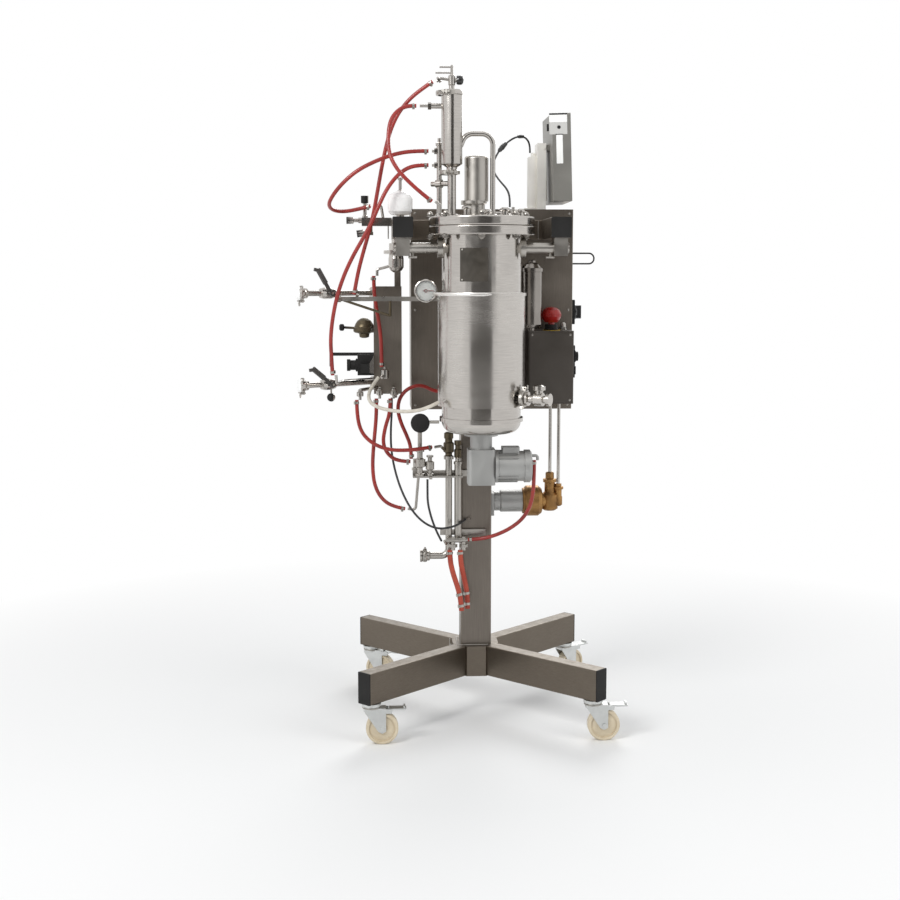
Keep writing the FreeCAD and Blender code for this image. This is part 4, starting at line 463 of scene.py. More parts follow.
# %% Dark cards
def dark_card(name, middle, width, height, shade):
    w, h = width / 2, height / 2
    material, tree, shader = new_material(name)
    set_inputs(shader, {"Base Color": (shade, shade * 0.95, shade * 0.9, 1), "Roughness": 0.9})
    card = sheet(name, [(-w, 0, -h), (w, 0, -h), (w, 0, h), (-w, 0, h)], material)
    card.location = middle
    for rays in ("camera", "diffuse", "transmission", "volume_scatter", "shadow"):
        setattr(card, "visible_" + rays, False)
    return card


CARD_DISTANCE = 6.2
for name, x, width, z, height, shade in (("floor_card", -0.6, 6.6, 0.35, 2.1, 0.16),
                                         ("room_card", -1.4, 11.6, 1.7, 0.6, 0.1),
                                         ("high_card", 0.35, 3.2, 3.0, 2.0, 0.1)):
    card = dark_card(name, at(x, -CARD_DISTANCE, z), width, height, shade)
    print("card:", card.name)

# %% [markdown]
# ## Dressing the solid parts
# Every solid part gets its finish by name. Some parts hold pieces of another finish, such
# as the black caps on small valves; their faces are picked by place and given a second
# material slot, so the shape stays as it is.


# %% Finish per part
FINISHES = {
    "base_frame": FRAME_LEVEL, "end_caps": BLACK, "column": FRAME_UP, "support_fork": FRAME_LEVEL,
    "vessel_shell": POLISHED, "vessel_jacket": JACKET, "vessel_mounts": SATIN, "lid": POLISHED,
    "lid_fittings": POLISHED, "foam_breaker": SATIN, "condenser": POLISHED,
    "condenser_knob": BLACK_GLOSS, "agitator": POLISHED,
    "drive_unit": CAST_GREY, "utility_cabinet": CABINET, "terminal_box": DARK_PAINT,
    "air_filter": FILTER_PAINTED_DARK_STEEL, "panel_post": BRACKET, "control_panel": CASE,
    "emergency_stop": STOP_RED, "cabinet_fittings": BLACK, "main_switch": BLACK_GLOSS,
    "circulation_pump": BRONZE, "valve_panel": CABINET, "side_valves": POLISHED,
    "upper_lever": LEVER, "lower_lever": LEVER, "pressure_gauge": SATIN,
    "gauge_needle": NEEDLE_RED, "lower_manifold": SATIN, "manifold_knob": BLACK,
    "sample_valve": POLISHED,
}
for number in range(1, 5):
    FINISHES[f"caster_fork_{number}"] = ZINC
    FINISHES[f"caster_wheel_{number}"] = WARM_LIT_NYLON
    FINISHES[f"caster_pedal_{number}"] = ZINC

for node, material in FINISHES.items():
    mesh = nodes[node].data
    mesh.materials.clear()
    mesh.materials.append(material)
print("dressed parts:", len(FINISHES))


# %% Second finishes
def dress_where(node, material, low, high):
    """Give the faces whose middle lies in a box, in metres from the column's foot."""
    mesh = nodes[node].data
    mesh.materials.append(material)
    slot = len(mesh.materials) - 1
    low, high = at(*low), at(*high)
    count = 0
    for face in mesh.polygons:
        if all(a <= c <= b for a, c, b in zip(low, face.center, high)):
            face.material_index = slot
            count += 1
    return count


# Black valve caps, the diaphragm valve, the vent knob and the steam valve, white caps, the
# hose rail, the manifold's valves, the gland and the pump's pipes, in this order.
SECOND_FINISHES = (
    ("side_valves", BLACK, (-0.38, -0.1, 1.6595), (-0.335, -0.05, 5.0)),
    ("side_valves", BLACK, (-0.42, -0.1, 1.575), (-0.3905, -0.05, 1.635)),
    ("side_valves", BLACK, (-0.42, -0.1, 1.535), (-0.358, -0.05, 1.59)),
    ("side_valves", DULL_BRASS, (-0.3965, -0.06, 1.236), (-0.329, 0.016, 1.3035)),
    ("side_valves", BLACK, (-0.442, -0.06, 1.25), (-0.3966, 0.016, 1.29)),
    ("side_valves", BLACK, (-0.482, -0.122, 1.038), (-0.448, -0.088, 1.0685)),
    ("side_valves", BLACK, (-0.42, -0.085, 1.118), (-0.3297, -0.01, 1.192)),
    ("side_valves", CAP_WHITE, (-0.6, -0.21, 1.05), (-0.546, -0.12, 1.42)),
    ("side_valves", CAP_WHITE, (-0.29, -0.245, 1.62), (-0.2, -0.155, 1.694)),
    ("valve_panel", SATIN, (-0.4315, -0.179, 1.3575), (0.0, -0.0415, 1.3725)),
    ("valve_panel", DULL_BRASS, (-0.428, -0.179, 1.3), (-0.24, -0.163, 1.3576)),
    ("valve_panel", BLACK, (-0.45, -0.185, 1.35), (-0.4302, -0.155, 1.38)),
    ("lower_manifold", DULL_BRASS, (-0.115, -0.095, 0.8595), (-0.04, -0.045, 0.945)),
    ("cabinet_fittings", SATIN, (0.268, -0.032, 1.2625), (0.303, 0.004, 1.31)),
    ("circulation_pump", POLISHED, (0.23, -0.02, 0.797), (0.29, 0.02, 1.035)),
    ("circulation_pump", CAST_GREY, (0.04, -0.06, 0.6), (0.1615, 0.06, 0.8)),
)
for row in SECOND_FINISHES:
    print(row[0], row[1].name, dress_where(*row), "faces")

# %% [markdown]
# ## Hoses and cables
# A hose is a fixed length of something flexible. Each one follows a smooth NURBS line with a
# round bevel. Its facts are its length, how it lies and its kind; its control points, in
# millimetres from the column's foot, are those of the CAD model. All hoses return into the
# unit, apart from the two drain hoses, whose cut ends hang free under the manifold.

# %% Hoses and their routes
# Each kind has its diameter, its material and its slot.
RED = (0.012, RED_HOSE, "red_hose")
DRAIN = (0.017, DRAIN_RED, "drain_hose_red")
BRAID = (0.011, PALE_BRAID, "pale_braid")
CABLE = (0.007, SHEATH, "cable_black")
THIN_CABLE = (0.006, SHEATH, "cable_black")
HOSES = {
    "condenser_hose": (0.706, "hanging", RED, (
        (-137, -250, 2014), (-171, -243, 1992), (-207, -234, 1964), (-240, -224, 1925),
        (-264, -217, 1876), (-280, -213, 1818), (-293, -211, 1756), (-305, -209, 1690),
        (-318, -205, 1620), (-334, -201, 1560), (-352, -193, 1500), (-368, -182, 1440),
        (-379, -171, 1380))),
    "return_hose": (0.393, "loose", RED, (
        (-187, -250, 1942), (-208, -250, 1942), (-229, -253, 1936), (-247, -257, 1923),
        (-260, -261, 1906), (-268, -266, 1885), (-272, -273, 1852), (-272, -283, 1817),
        (-264, -293, 1782), (-243, -301, 1747), (-214, -305, 1716), (-178, -304, 1684),
        (-143, -300, 1657))),
    "inlet_hose": (0.563, "loose", RED, (
        (-150, -228, 1811), (-198, -228, 1811), (-252, -240, 1801), (-308, -250, 1780),
        (-364, -252, 1752), (-408, -246, 1716), (-441, -226, 1678), (-456, -186, 1651),
        (-443, -142, 1637), (-412, -112, 1634), (-370, -104, 1641), (-326, -112, 1652))),
    "supply_hose": (0.768, "hanging", RED, (
        (-150, -228, 1769), (-186, -228, 1769), (-222, -242, 1756), (-253, -257, 1728),
        (-280, -267, 1690), (-301, -271, 1646), (-322, -270, 1598), (-348, -265, 1550),
        (-377, -257, 1502), (-404, -248, 1448), (-427, -239, 1386), (-443, -228, 1318),
        (-452, -216, 1248), (-450, -207, 1188), (-447, -201, 1131))),
    "panel_hose": (0.288, "hanging", RED, (
        (-318, -92, 1436), (-318, -92, 1388), (-309, -97, 1326), (-298, -102, 1262), (-295, -104, 1198),
        (-295, -104, 1150))),
    "braided_hose": (0.396, "hanging", BRAID, (
        (-306, -121, 1117), (-324, -149, 1095), (-337, -188, 1071), (-334, -232, 1051),
        (-312, -272, 1038), (-276, -306, 1031), (-232, -328, 1028), (-186, -338, 1032),
        (-150, -334, 1044), (-124, -322, 1056))),
    "lower_hose": (0.35, "hanging", RED, (
        (-374, -122, 1047), (-374, -122, 998), (-361, -128, 944), (-325, -132, 908), (-276, -134, 889),
        (-222, -132, 886), (-171, -122, 890), (-137, -104, 893))),
    "inner_hose": (0.263, "hanging", RED, (
        (-268, -78, 1047), (-268, -78, 1004), (-285, -79, 954), (-293, -80, 904), (-277, -80, 867),
        (-244, -80, 845), (-204, -80, 844))),
    "loop_hose": (0.413, "hanging", RED, (
        (-312, -74, 1047), (-312, -74, 1000), (-317, -82, 944), (-323, -94, 886), (-326, -104, 828),
        (-320, -110, 772), (-298, -108, 728), (-262, -98, 701), (-223, -88, 692))),
    "arch_hose": (0.396, "loose", RED, (
        (-201, -56, 850), (-201, -56, 888), (-216, -56, 928), (-234, -54, 967), (-245, -50, 1010),
        (-236, -44, 1051), (-205, -35, 1080), (-162, -22, 1086), (-119, 0, 1060), (-71, 0, 1060))),
    "cross_hose": (0.433, "hanging", RED, (
        (176, -250, 868), (176, -250, 820), (175, -240, 766), (168, -218, 716), (148, -186, 672),
        (114, -150, 636), (70, -118, 608), (24, -97, 592), (-20, -96, 590))),
    "drain_hose_left": (0.201, "hanging", DRAIN, (
        (-78, -96, 556), (-78, -96, 523), (-68, -102, 480), (-53, -109, 436), (-43, -111, 394),
        (-41, -111, 360))),
    "drain_hose_right": (0.199, "hanging", DRAIN, (
        (-44, -96, 556), (-44, -96, 522), (-35, -90, 478), (-25, -84, 434), (-20, -81, 394),
        (-20, -81, 360))),
    "long_cable": (0.622, "hanging", CABLE, (
        (-262, -18, 1045), (-262, -18, 1001), (-266, -24, 945), (-266, -38, 884), (-256, -62, 820),
        (-236, -94, 756), (-205, -124, 696), (-165, -141, 654), (-120, -142, 634), (-77, -128, 636),
        (-44, -102, 644), (-26, -58, 650))),
    "short_cable": (0.217, "hanging", CABLE, (
        (-150, -96, 788), (-150, -96, 755), (-150, -106, 715), (-141, -114, 674), (-128, -114, 636),
        (-115, -104, 606), (-105, -90, 586))),
    "terminal_cable": (0.535, "loose", THIN_CABLE, (
        (196, 110, 1836), (196, 110, 1858), (187, 99, 1878), (168, 80, 1887), (141, 56, 1881),
        (113, 28, 1862), (88, -4, 1837), (69, -40, 1809), (59, -80, 1782), (58, -118, 1759),
        (65, -156, 1738), (76, -192, 1719), (87, -222, 1702), (94, -241, 1684), (96, -250, 1664),
        (96, -250, 1643))),
}
print("hoses known:", len(HOSES))


# %% Hose builder
def on_route(place):
    return at(*(value / 1000 for value in place))


def hose_line(name, label):
    """The smooth line along a hose's route. The order is set once the points are there, because
    a spline with too few points would quietly drop it to straight runs."""
    route = HOSES[name][3]
    curve = bpy.data.curves.new(label, "CURVE")
    curve.dimensions = "3D"
    curve.resolution_u = 10
    spline = curve.splines.new("NURBS")
    spline.points.add(len(route) - 1)
    for point, place in zip(spline.points, route):
        point.co = (*on_route(place), 1)
    spline.order_u = 3
    spline.use_endpoint_u = True
    return add_object(label, curve)


def lay_hose(name, material, diameter):
    hose = hose_line(name, name + "_line")
    hose.data.bevel_depth = diameter / 2
    hose.data.bevel_resolution = 6
    hose.data.use_fill_caps = True
    hose.data.materials.append(material)
    return hose


def line_points(name):
    """Points along a hose's smooth line, read from a line without a bevel."""
    probe = hose_line(name, "probe")
    mesh = bpy.data.meshes.new_from_object(probe)
    points = [v.co.copy() for v in mesh.vertices]
    bpy.data.objects.remove(probe)
    return points


# %% [markdown]
# ## Small parts
# Bands, bolts and plates are too many to place by hand. Two builders are enough: one turns
# an outline about an axis and one makes a block with softened edges. A third one closes a
# piece's mesh, gives it its finish and lets it ride on its body.


# %% Builders
SHARP_ANGLE = math.radians(32)


def axis_frame(place, way):
    """A matrix whose Z runs along way and whose origin is place."""
    return shift(place) @ Vector(way).to_track_quat("Z", "Y").to_matrix().to_4x4()


def keep(name, mesh, material, body="stand", smooth=True):
    """Turn a bmesh into a piece that rides on a body."""
    bmesh.ops.recalc_face_normals(mesh, faces=mesh.faces)
    data = bpy.data.meshes.new(name)
    mesh.to_mesh(data)
    mesh.free()
    piece = add_object(name, data)
    data.materials.append(material)
    if smooth:
        data.shade_smooth()
        data.set_sharp_from_angle(angle=SHARP_ANGLE)
    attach(piece, body)
    return piece


def turned_mesh(mesh, outline, matrix, steps=40):
    """Add a turned shape to a bmesh; outline holds (radius, height) pairs in metres."""
    turns = [2 * math.pi * k / steps for k in range(steps)]
    rings = []
    for radius, height in outline:
        ring = [(radius * math.cos(turn), radius * math.sin(turn), height) for turn in turns]
        spots = ring if radius else ring[:1]
        rings.append([mesh.verts.new(matrix @ Vector(spot)) for spot in spots])
    for low, high in zip(rings, rings[1:]):
        for k in range(steps):
            j = (k + 1) % steps
            loop = [low[k % len(low)], low[j % len(low)], high[j % len(high)], high[k % len(high)]]
            corners = list(dict.fromkeys(loop))
            if len(corners) > 2:
                mesh.faces.new(corners)


def block_mesh(mesh, size, matrix, soften=0.0):
    made = bmesh.ops.create_cube(mesh, size=1.0, matrix=matrix @ Matrix.Diagonal((*size, 1)))
    if soften:
        edges = list({e for v in made["verts"] for e in v.link_edges})
        bmesh.ops.bevel(mesh, geom=edges, offset=soften, segments=2, affect="EDGES")


print("builders ready")


# %% Bands on the hose ends
def hose_band(mesh, place, way, r, width=0.008):
    """A clamp band round a hose of radius r, with its worm screw's housing."""
    turned_mesh(mesh, [(r, 0), (r + 0.0012, 0.0004), (r + 0.0012, width - 0.0004), (r, width)],
                axis_frame(place, way), 28)
    side = Vector(way).orthogonal().normalized()
    house = axis_frame(place + way * (width / 2) + side * (r + 0.0028), side)
    block_mesh(mesh, (0.0075, 0.01, 0.0045), house, 0.0008)


laid = {}
for name, (_, _, (diameter, material, slot), _) in HOSES.items():
    hose = lay_hose(name, material, diameter)
    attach(hose, "stand")
    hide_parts(name)
    pieces = []
    if material in (RED_HOSE, DRAIN_RED):
        line = line_points(name)
        ends = [(line[0], (line[3] - line[0]).normalized())]
        if material is RED_HOSE:
            ends.append((line[-1], (line[-4] - line[-1]).normalized()))
        mesh = bmesh.new()
        for place, way in ends:
            hose_band(mesh, place + way * 0.005, way, diameter / 2)
        pieces.append(keep(name + "_bands", mesh, SATIN))
    laid[name] = (hose, pieces)
print("hoses laid:", len(laid))

# %% [markdown]
# Each drain hose carries two more bands near its open end, and the terminal's cable has a
# round inline connector and a short sleeve. They lie on their hose or cable, so each is
# kept in that hose's list of pieces.


# %% Pieces along the cords
def along(name, share):
    """Place and direction at a share of a hose's line."""
    line = line_points(name)
    k = min(len(line) - 3, max(1, int(share * (len(line) - 1))))
    return line[k], (line[k + 2] - line[k - 1]).normalized()


for name in ("drain_hose_left", "drain_hose_right"):
    mesh = bmesh.new()
    for share in (0.74, 0.92):
        hose_band(mesh, *along(name, share), 0.0085, 0.009)
    laid[name][1].append(keep(name + "_lower_bands", mesh, SATIN))

mesh = bmesh.new()
turned_mesh(mesh, [(0.003, -0.03), (0.006, -0.026), (0.0075, -0.018), (0.0075, -0.004),
                   (0.0085, -0.003), (0.0085, 0.006), (0.0072, 0.007), (0.0072, 0.02),
                   (0.005, 0.026), (0.003, 0.03)], axis_frame(*along("terminal_cable", 0.37)), 28)
turned_mesh(mesh, [(0.003, -0.013), (0.0055, -0.011), (0.006, 0.008), (0.0045, 0.013),
                   (0.003, 0.014)], axis_frame(*along("terminal_cable", 0.2)), 28)
coupler = keep("cable_coupler", mesh, BLACK_GLOSS)
laid["terminal_cable"][1].append(coupler)

for name, (length, lay, (diameter, _, _), route) in HOSES.items():
    hose, pieces = laid[name]
print("cords declared:", len(HOSES))

# %% [markdown]
# ## The vessel's details
# A rolled rim closes the jacket's top; its steel is painted lighter than the jacket's, a painted
# highlight for the bright line along it. A dark data plate is riveted to the front of the vessel,
# bent to its curve; it is left blank here. A plate like this is quickest as a strip of the
# vessel's own cylinder, a hair outside it.

# %% Data plate
VESSEL_AXIS = at(0, VESSEL_Y, 0)
PLATE_RADIUS = 0.1221
PLATE_OUTSIDE = PLATE_RADIUS + 0.0012
PLATE_LOW, PLATE_HIGH = 1.419, 1.518
PLATE_COLUMNS = 24
half = 0.064 / PLATE_RADIUS
mesh = bmesh.new()
grid = []
for k in range(PLATE_COLUMNS + 1):
    turn = math.radians(-90) - half + 2 * half * k / PLATE_COLUMNS
    way = Vector((math.cos(turn), math.sin(turn), 0))
    grid.append([mesh.verts.new(VESSEL_AXIS + way * r + Z * z)
                 for r, z in ((PLATE_RADIUS, PLATE_LOW), (PLATE_OUTSIDE, PLATE_LOW),
                              (PLATE_OUTSIDE, PLATE_HIGH), (PLATE_RADIUS, PLATE_HIGH))])
for a, b in zip(grid, grid[1:]):
    for i in range(4):
        j = (i + 1) % 4
        mesh.faces.new([a[i], b[i], b[j], a[j]])
mesh.faces.new(grid[0])
mesh.faces.new(list(reversed(grid[-1])))
keep("data_plate", mesh, PLATE)
mesh = bmesh.new()
for side, height in ((-1, 1.424), (1, 1.424), (-1, 1.513), (1, 1.513)):
    way = level_way(-90 + side * 27)
    turned_mesh(mesh, [(0.0028, 0), (0.0026, 0.001), (0.0014, 0.0018), (0, 0.002)],
                axis_frame(VESSEL_AXIS + way * 0.1232 + Z * height, way), 16)
keep("plate_rivets", mesh, SATIN)
mesh = bmesh.new()
turned_mesh(mesh, [(0.1342, 1.3755), (0.1376, 1.376), (0.1392, 1.379), (0.1396, 1.3812),
                   (0.1392, 1.3834), (0.1376, 1.3862), (0.1342, 1.3868)],
            shift(VESSEL_AXIS), 120)
keep("jacket_rim", mesh, RIM_HIGHLIGHT_STEEL)
print("data plate and jacket rim fixed")

# %% [markdown]
# Sanitary joints are pairs of ferrules held by a hinged clamp with a wing nut. The unit has
# many, so one function makes the whole clamp for a given place, direction and size.


# %% Ferrule clamps
def ferrule_clamp(mesh, place, way, r, turn):
    """Two half rings round radius r, the swing bolt's lugs and a wing nut."""
    ring = axis_frame(place, way) @ Matrix.Rotation(turn, 4, "Z")
    half = 0.0065
    turned_mesh(mesh, [(r - 0.002, -half), (r + 0.003, -half), (r + 0.0045, -half + 0.002),
                       (r + 0.0045, half - 0.002), (r + 0.003, half), (r - 0.002, half)], ring)
    for side in (-1, 1):
        block_mesh(mesh, (0.013, 0.005, 0.011), ring @ shift((r + 0.009, side * 0.0048, 0)), 0.001)
    block_mesh(mesh, (0.01, 0.01, 0.011), ring @ shift((-r - 0.006, 0, 0)), 0.002)
    bolt = ring @ shift((r + 0.0105, 0, 0)) @ Matrix.Rotation(math.pi / 2, 4, "X")
    turned_mesh(mesh, [(0, -0.014), (0.003, -0.014), (0.003, 0.022), (0, 0.022)], bolt, 14)
    turned_mesh(mesh, [(0.003, 0.008), (0.0055, 0.008), (0.0045, 0.015), (0.003, 0.015)], bolt, 20)
    for side in (-1, 1):
        block_mesh(mesh, (0.013, 0.0028, 0.01), bolt @ shift((side * 0.01, 0, 0.0135))
                   @ Matrix.Rotation(side * 0.35, 4, "Y"), 0.0012)


VALVE_WAY = level_way(215)
VALVE_ROOT_X, VALVE_ROOT_Y = -0.33, -0.01
mesh = bmesh.new()
for height in (1.382, 1.096):
    place = at(VALVE_ROOT_X, VALVE_ROOT_Y, height) + VALVE_WAY * 0.259
    ferrule_clamp(mesh, place, VALVE_WAY, 0.013, -math.pi / 2)
keep("outlet_clamps", mesh, POLISHED)

CONDENSER_X = -0.091
mesh = bmesh.new()
ferrule_clamp(mesh, at(CONDENSER_X, VESSEL_Y, 1.745), Z, 0.025, 1.9)
ferrule_clamp(mesh, at(CONDENSER_X, VESSEL_Y, 1.9795), Z, 0.0335, 1.3)
ferrule_clamp(mesh, at(-0.015, VESSEL_Y + 0.02, 1.657), Z, 0.032, -1.2)
keep("lid_gear_clamps", mesh, SATIN)

SAMPLE_WAY = level_way(-32)
mesh = bmesh.new()
ferrule_clamp(mesh, at(0, VESSEL_Y, 1.066) + SAMPLE_WAY * 0.156, SAMPLE_WAY, 0.021, 1.2)
ferrule_clamp(mesh, at(-0.158, -0.072, 0.534), -X, 0.016, 0.8)
keep("port_clamps", mesh, SATIN)
print("ferrule clamps placed")

# %% [markdown]
# ## Lid bolts
# The lid is held to the head flange by eight studs with washers and dome nuts above and plain
# nuts below. Turned with six steps an outline becomes a hexagon, so nuts need no builder of
# their own. The head flange is as thick as the lid.

# %% Lid bolts
lid_low, lid_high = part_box("lid")
flange_under = 2 * lid_low.z - lid_high.z
RIM_TO_BOLT = 0.0145
BOLT_CIRCLE = (lid_high.x - lid_low.x) / 2 - RIM_TO_BOLT
mesh = bmesh.new()
for k in range(8):
    stud = VESSEL_AXIS + level_way(45 * k) * BOLT_CIRCLE
    top = axis_frame(stud + Z * lid_high.z, Z)
    under = axis_frame(stud + Z * flange_under, -Z)
    for place in (top, under):
        turned_mesh(mesh, [(0.0108, 0), (0.0108, 0.0016), (0.0058, 0.0016)], place, 28)
        turned_mesh(mesh, [(0.0096, 0.0016), (0.0098, 0.0022), (0.0098, 0.008), (0.0078, 0.0092),
                           (0.005, 0.0092)], place, 6)
    turned_mesh(mesh, [(0.0078, 0.0088), (0.0072, 0.0122), (0.0052, 0.015), (0.0022, 0.0166),
                       (0, 0.0168)], top, 28)
    turned_mesh(mesh, [(0.005, 0.0085), (0.005, 0.012), (0.0042, 0.013), (0, 0.013)], under, 20)
keep("lid_bolts", mesh, SATIN)
print("lid bolts: 8 on a circle of", round(BOLT_CIRCLE, 3))

# %% [markdown]
# ## Gauge
# The dial is a white disc with ticks round three quarters of it. Ticks are small blocks, as
# thick as ink, placed by angle; a domed glass lies over them and a rounded bezel holds it.

# %% Gauge face
gauge_low, gauge_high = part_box("pressure_gauge")
_, needle_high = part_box("gauge_needle")
GAUGE_RADIUS = (gauge_high.z - gauge_low.z) / 2
gauge_middle = (gauge_low + gauge_high) / 2
gauge_middle.y = gauge_low.y
face_at = Vector((gauge_middle.x, needle_high.y + 0.0004, gauge_middle.z))
mesh = bmesh.new()
turned_mesh(mesh, [(0, 0), (GAUGE_RADIUS - 0.0045, 0), (GAUGE_RADIUS - 0.0045, 0.0006),
                   (0.0034, 0.0006)], axis_frame(face_at - Y * 0.0002, -Y), 64)
keep("gauge_dial", mesh, DIAL)

mesh = bmesh.new()
for step in range(31):
    angle = math.radians(225 - 9 * step)
    major = step % 5 == 0
    reach = 0.0055 if major else 0.003
    middle = GAUGE_RADIUS - 0.0062 - reach / 2
    spot = face_at + Vector((math.cos(angle) * middle, -0.0011, math.sin(angle) * middle))
    block_mesh(mesh, (reach, 0.0003, 0.0009 if major else 0.0005),
               shift(spot) @ Matrix.Rotation(-angle, 4, "Y"))
keep("gauge_ticks", mesh, BLACK, smooth=False)

mesh = bmesh.new()
turned_mesh(mesh, [(0, 0), (GAUGE_RADIUS - 0.0048, 0), (GAUGE_RADIUS - 0.0048, 0.0015),
                   (0.014, 0.0024), (0, 0.0027)], axis_frame(gauge_middle + Y * 0.0032, -Y), 64)
keep("gauge_lens", mesh, GAUGE_GLASS)

mesh = bmesh.new()
turned_mesh(mesh, [(GAUGE_RADIUS + out, height) for out, height in (
    (-0.0056, -0.003), (-0.0056, 0.0006), (-0.0046, 0.0016), (-0.0028, 0.002),
    (-0.001, 0.0012), (0.0002, -0.0006), (0.0002, -0.007))], axis_frame(gauge_middle, -Y), 72)
keep("gauge_bezel", mesh, POLISHED)
print("gauge radius:", round(GAUGE_RADIUS, 4))

# %% [markdown]
# ## Terminal
# The operator's terminal tilts on the bracket's pin, so everything on it rides on the
# terminal's own body. Its case leans a little at rest; pieces are laid out upright and then
# turned with it about the pin.

# %% Terminal pieces
PIN_X, PIN_Y = 0.226, 0.11
PIN = at(PIN_X, PIN_Y, 1.85)
LEAN = shift(PIN) @ Matrix.Rotation(math.radians(-1.8), 4, "Y") @ shift(-PIN)
PIN_TO_BACK, CASE_DEPTH = 0.018, 0.06
SCREEN_X = PIN_X + PIN_TO_BACK + CASE_DEPTH


def on_terminal(name, size, place, material, soften=0.0008):
    mesh = bmesh.new()
    block_mesh(mesh, size, LEAN @ shift(at(*place)), soften)
    keep(name, mesh, material, "control_panel")


on_terminal("screen_glass", (0.0016, 0.204, 0.215), (SCREEN_X - 0.0012, PIN_Y, 1.8225),
            BLACK_GLOSS)
mesh = bmesh.new()
for k in range(6):
    block_mesh(mesh, (0.003, 0.022, 0.014),
               LEAN @ shift(at(SCREEN_X + 0.0002, 0.025 + 0.034 * k, 1.693)), 0.001)
keep("screen_keys", mesh, BLACK, "control_panel")
on_terminal("side_head", (0.0576, 0.0012, 0.0235), (0.274, -0.0154, 1.932), WHITE_PART, 0.0004)
on_terminal("side_shoulder", (0.0576, 0.0008, 0.0375), (0.274, -0.0152, 1.9013), PALE_GREY,
            0.0003)
on_terminal("side_slot", (0.021, 0.0014, 0.09), (0.277, -0.0155, 1.836), WHITE_PART)
mesh = bmesh.new()
for size, place in (((0.0576, 0.0016, 0.005), (0.274, -0.0155, 1.9463)),
                    ((0.024, 0.0018, 0.0028), (0.277, -0.0155, 1.8825)),
                    ((0.006, 0.012, 0.022), (0.2415, -0.006, 1.905))):
    block_mesh(mesh, size, LEAN @ shift(at(*place)), 0.0005)
turned_mesh(mesh, [(0.0055, 0), (0.0055, 0.0012), (0.0035, 0.0022), (0, 0.0024)],
            LEAN @ axis_frame(at(0.276, -0.0155, 1.905), -Y), 20)
keep("side_trim", mesh, BLACK, "control_panel")
# The rear cover takes the bracket's pale paint so the shaded gap between bracket and case reads light:
# painted light.
on_terminal("rear_cover", (0.004, 0.072, 0.11), (0.242, PIN_Y, 1.735), BRACKET, 0.001)
print("terminal dressed")

# %% [markdown]
# ## Cabinet and box
# The cabinet's door is at the back: a sheet a little smaller than the cabinet, with two
# hinges, two quarter-turn locks and a row of vent slots. The dark box in front has a lid
# held by corner screws.

# %% Cabinet door
DOOR_MARGIN = 0.036
cabinet_low, cabinet_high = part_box("utility_cabinet")
mesh = bmesh.new()
middle = (cabinet_low + cabinet_high) / 2
size = cabinet_high - cabinet_low
door_size = (size.x - DOOR_MARGIN, 0.0016, size.z - DOOR_MARGIN)
block_mesh(mesh, door_size, shift((middle.x, cabinet_high.y + 0.0009, middle.z)), 0.0006)
keep("cabinet_door", mesh, CABINET)

mesh = bmesh.new()
for z in (cabinet_low.z + 0.12, cabinet_high.z - 0.12):
    turned_mesh(mesh, [(0, -0.03), (0.006, -0.03), (0.006, 0.03), (0, 0.03)],
                shift((cabinet_low.x + 0.016, cabinet_high.y + 0.005, z)), 20)
for z in (cabinet_low.z + 0.1, cabinet_high.z - 0.1):
    turned_mesh(mesh, [(0.013, 0), (0.013, 0.003), (0.01, 0.005), (0.004, 0.005),
                       (0.003, 0.003), (0, 0.003)],
                axis_frame(Vector((cabinet_high.x - 0.045, cabinet_high.y + 0.0016, z)), Y), 32)
keep("door_hardware", mesh, SATIN)

mesh = bmesh.new()
for k in range(8):
    spot = Vector((middle.x + 0.06, cabinet_high.y + 0.0019, cabinet_high.z - 0.1 - 0.014 * k))
    block_mesh(mesh, (0.16, 0.0008, 0.005), shift(spot), 0.0002)
keep("door_vents", mesh, BLACK)
print("door size:", [round(v, 3) for v in door_size])


# %% Screws on sheet faces
def face_screws(name, places, way):
    mesh = bmesh.new()
    for place in places:
        turned_mesh(mesh, [(0.004, 0), (0.004, 0.0008), (0.0028, 0.0019), (0.0012, 0.0021),
                           (0.00112, 0.0012), (0, 0.0012)], axis_frame(place, way), 20)
    keep(name, mesh, SATIN)


box_low, box_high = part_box("terminal_box")
face_screws("box_lid_screws",
            [Vector((x, box_low.y, z)) for x in (box_low.x + 0.012, box_high.x - 0.012)
             for z in (box_low.z + 0.012, box_high.z - 0.012)], -Y)
face_screws("cabinet_front_screws",
            [Vector((x, cabinet_low.y, z)) for x in (cabinet_low.x + 0.014, cabinet_high.x - 0.014)
             for z in (cabinet_low.z + 0.014, middle.z, cabinet_high.z - 0.014)], -Y)
face_screws("cabinet_side_screws",
            [Vector((cabinet_high.x, y, z)) for y in (cabinet_low.y + 0.016, cabinet_high.y - 0.016)
             for z in (cabinet_low.z + 0.016, cabinet_high.z - 0.016)], X)
mesh = bmesh.new()
size, place = box_high - box_low, (box_low + box_high) / 2
block_mesh(mesh, (size.x - 0.01, 0.0014, size.z - 0.01),
           shift((place.x, box_low.y - 0.0005, place.z)), 0.0005)
keep("box_lid", mesh, DARK_PAINT)
print("screws placed")

# %% [markdown]
# The stop button's head is ribbed round its rim for grip, and a yellow ring lies on the box
# under it. The ribs ride with the head.

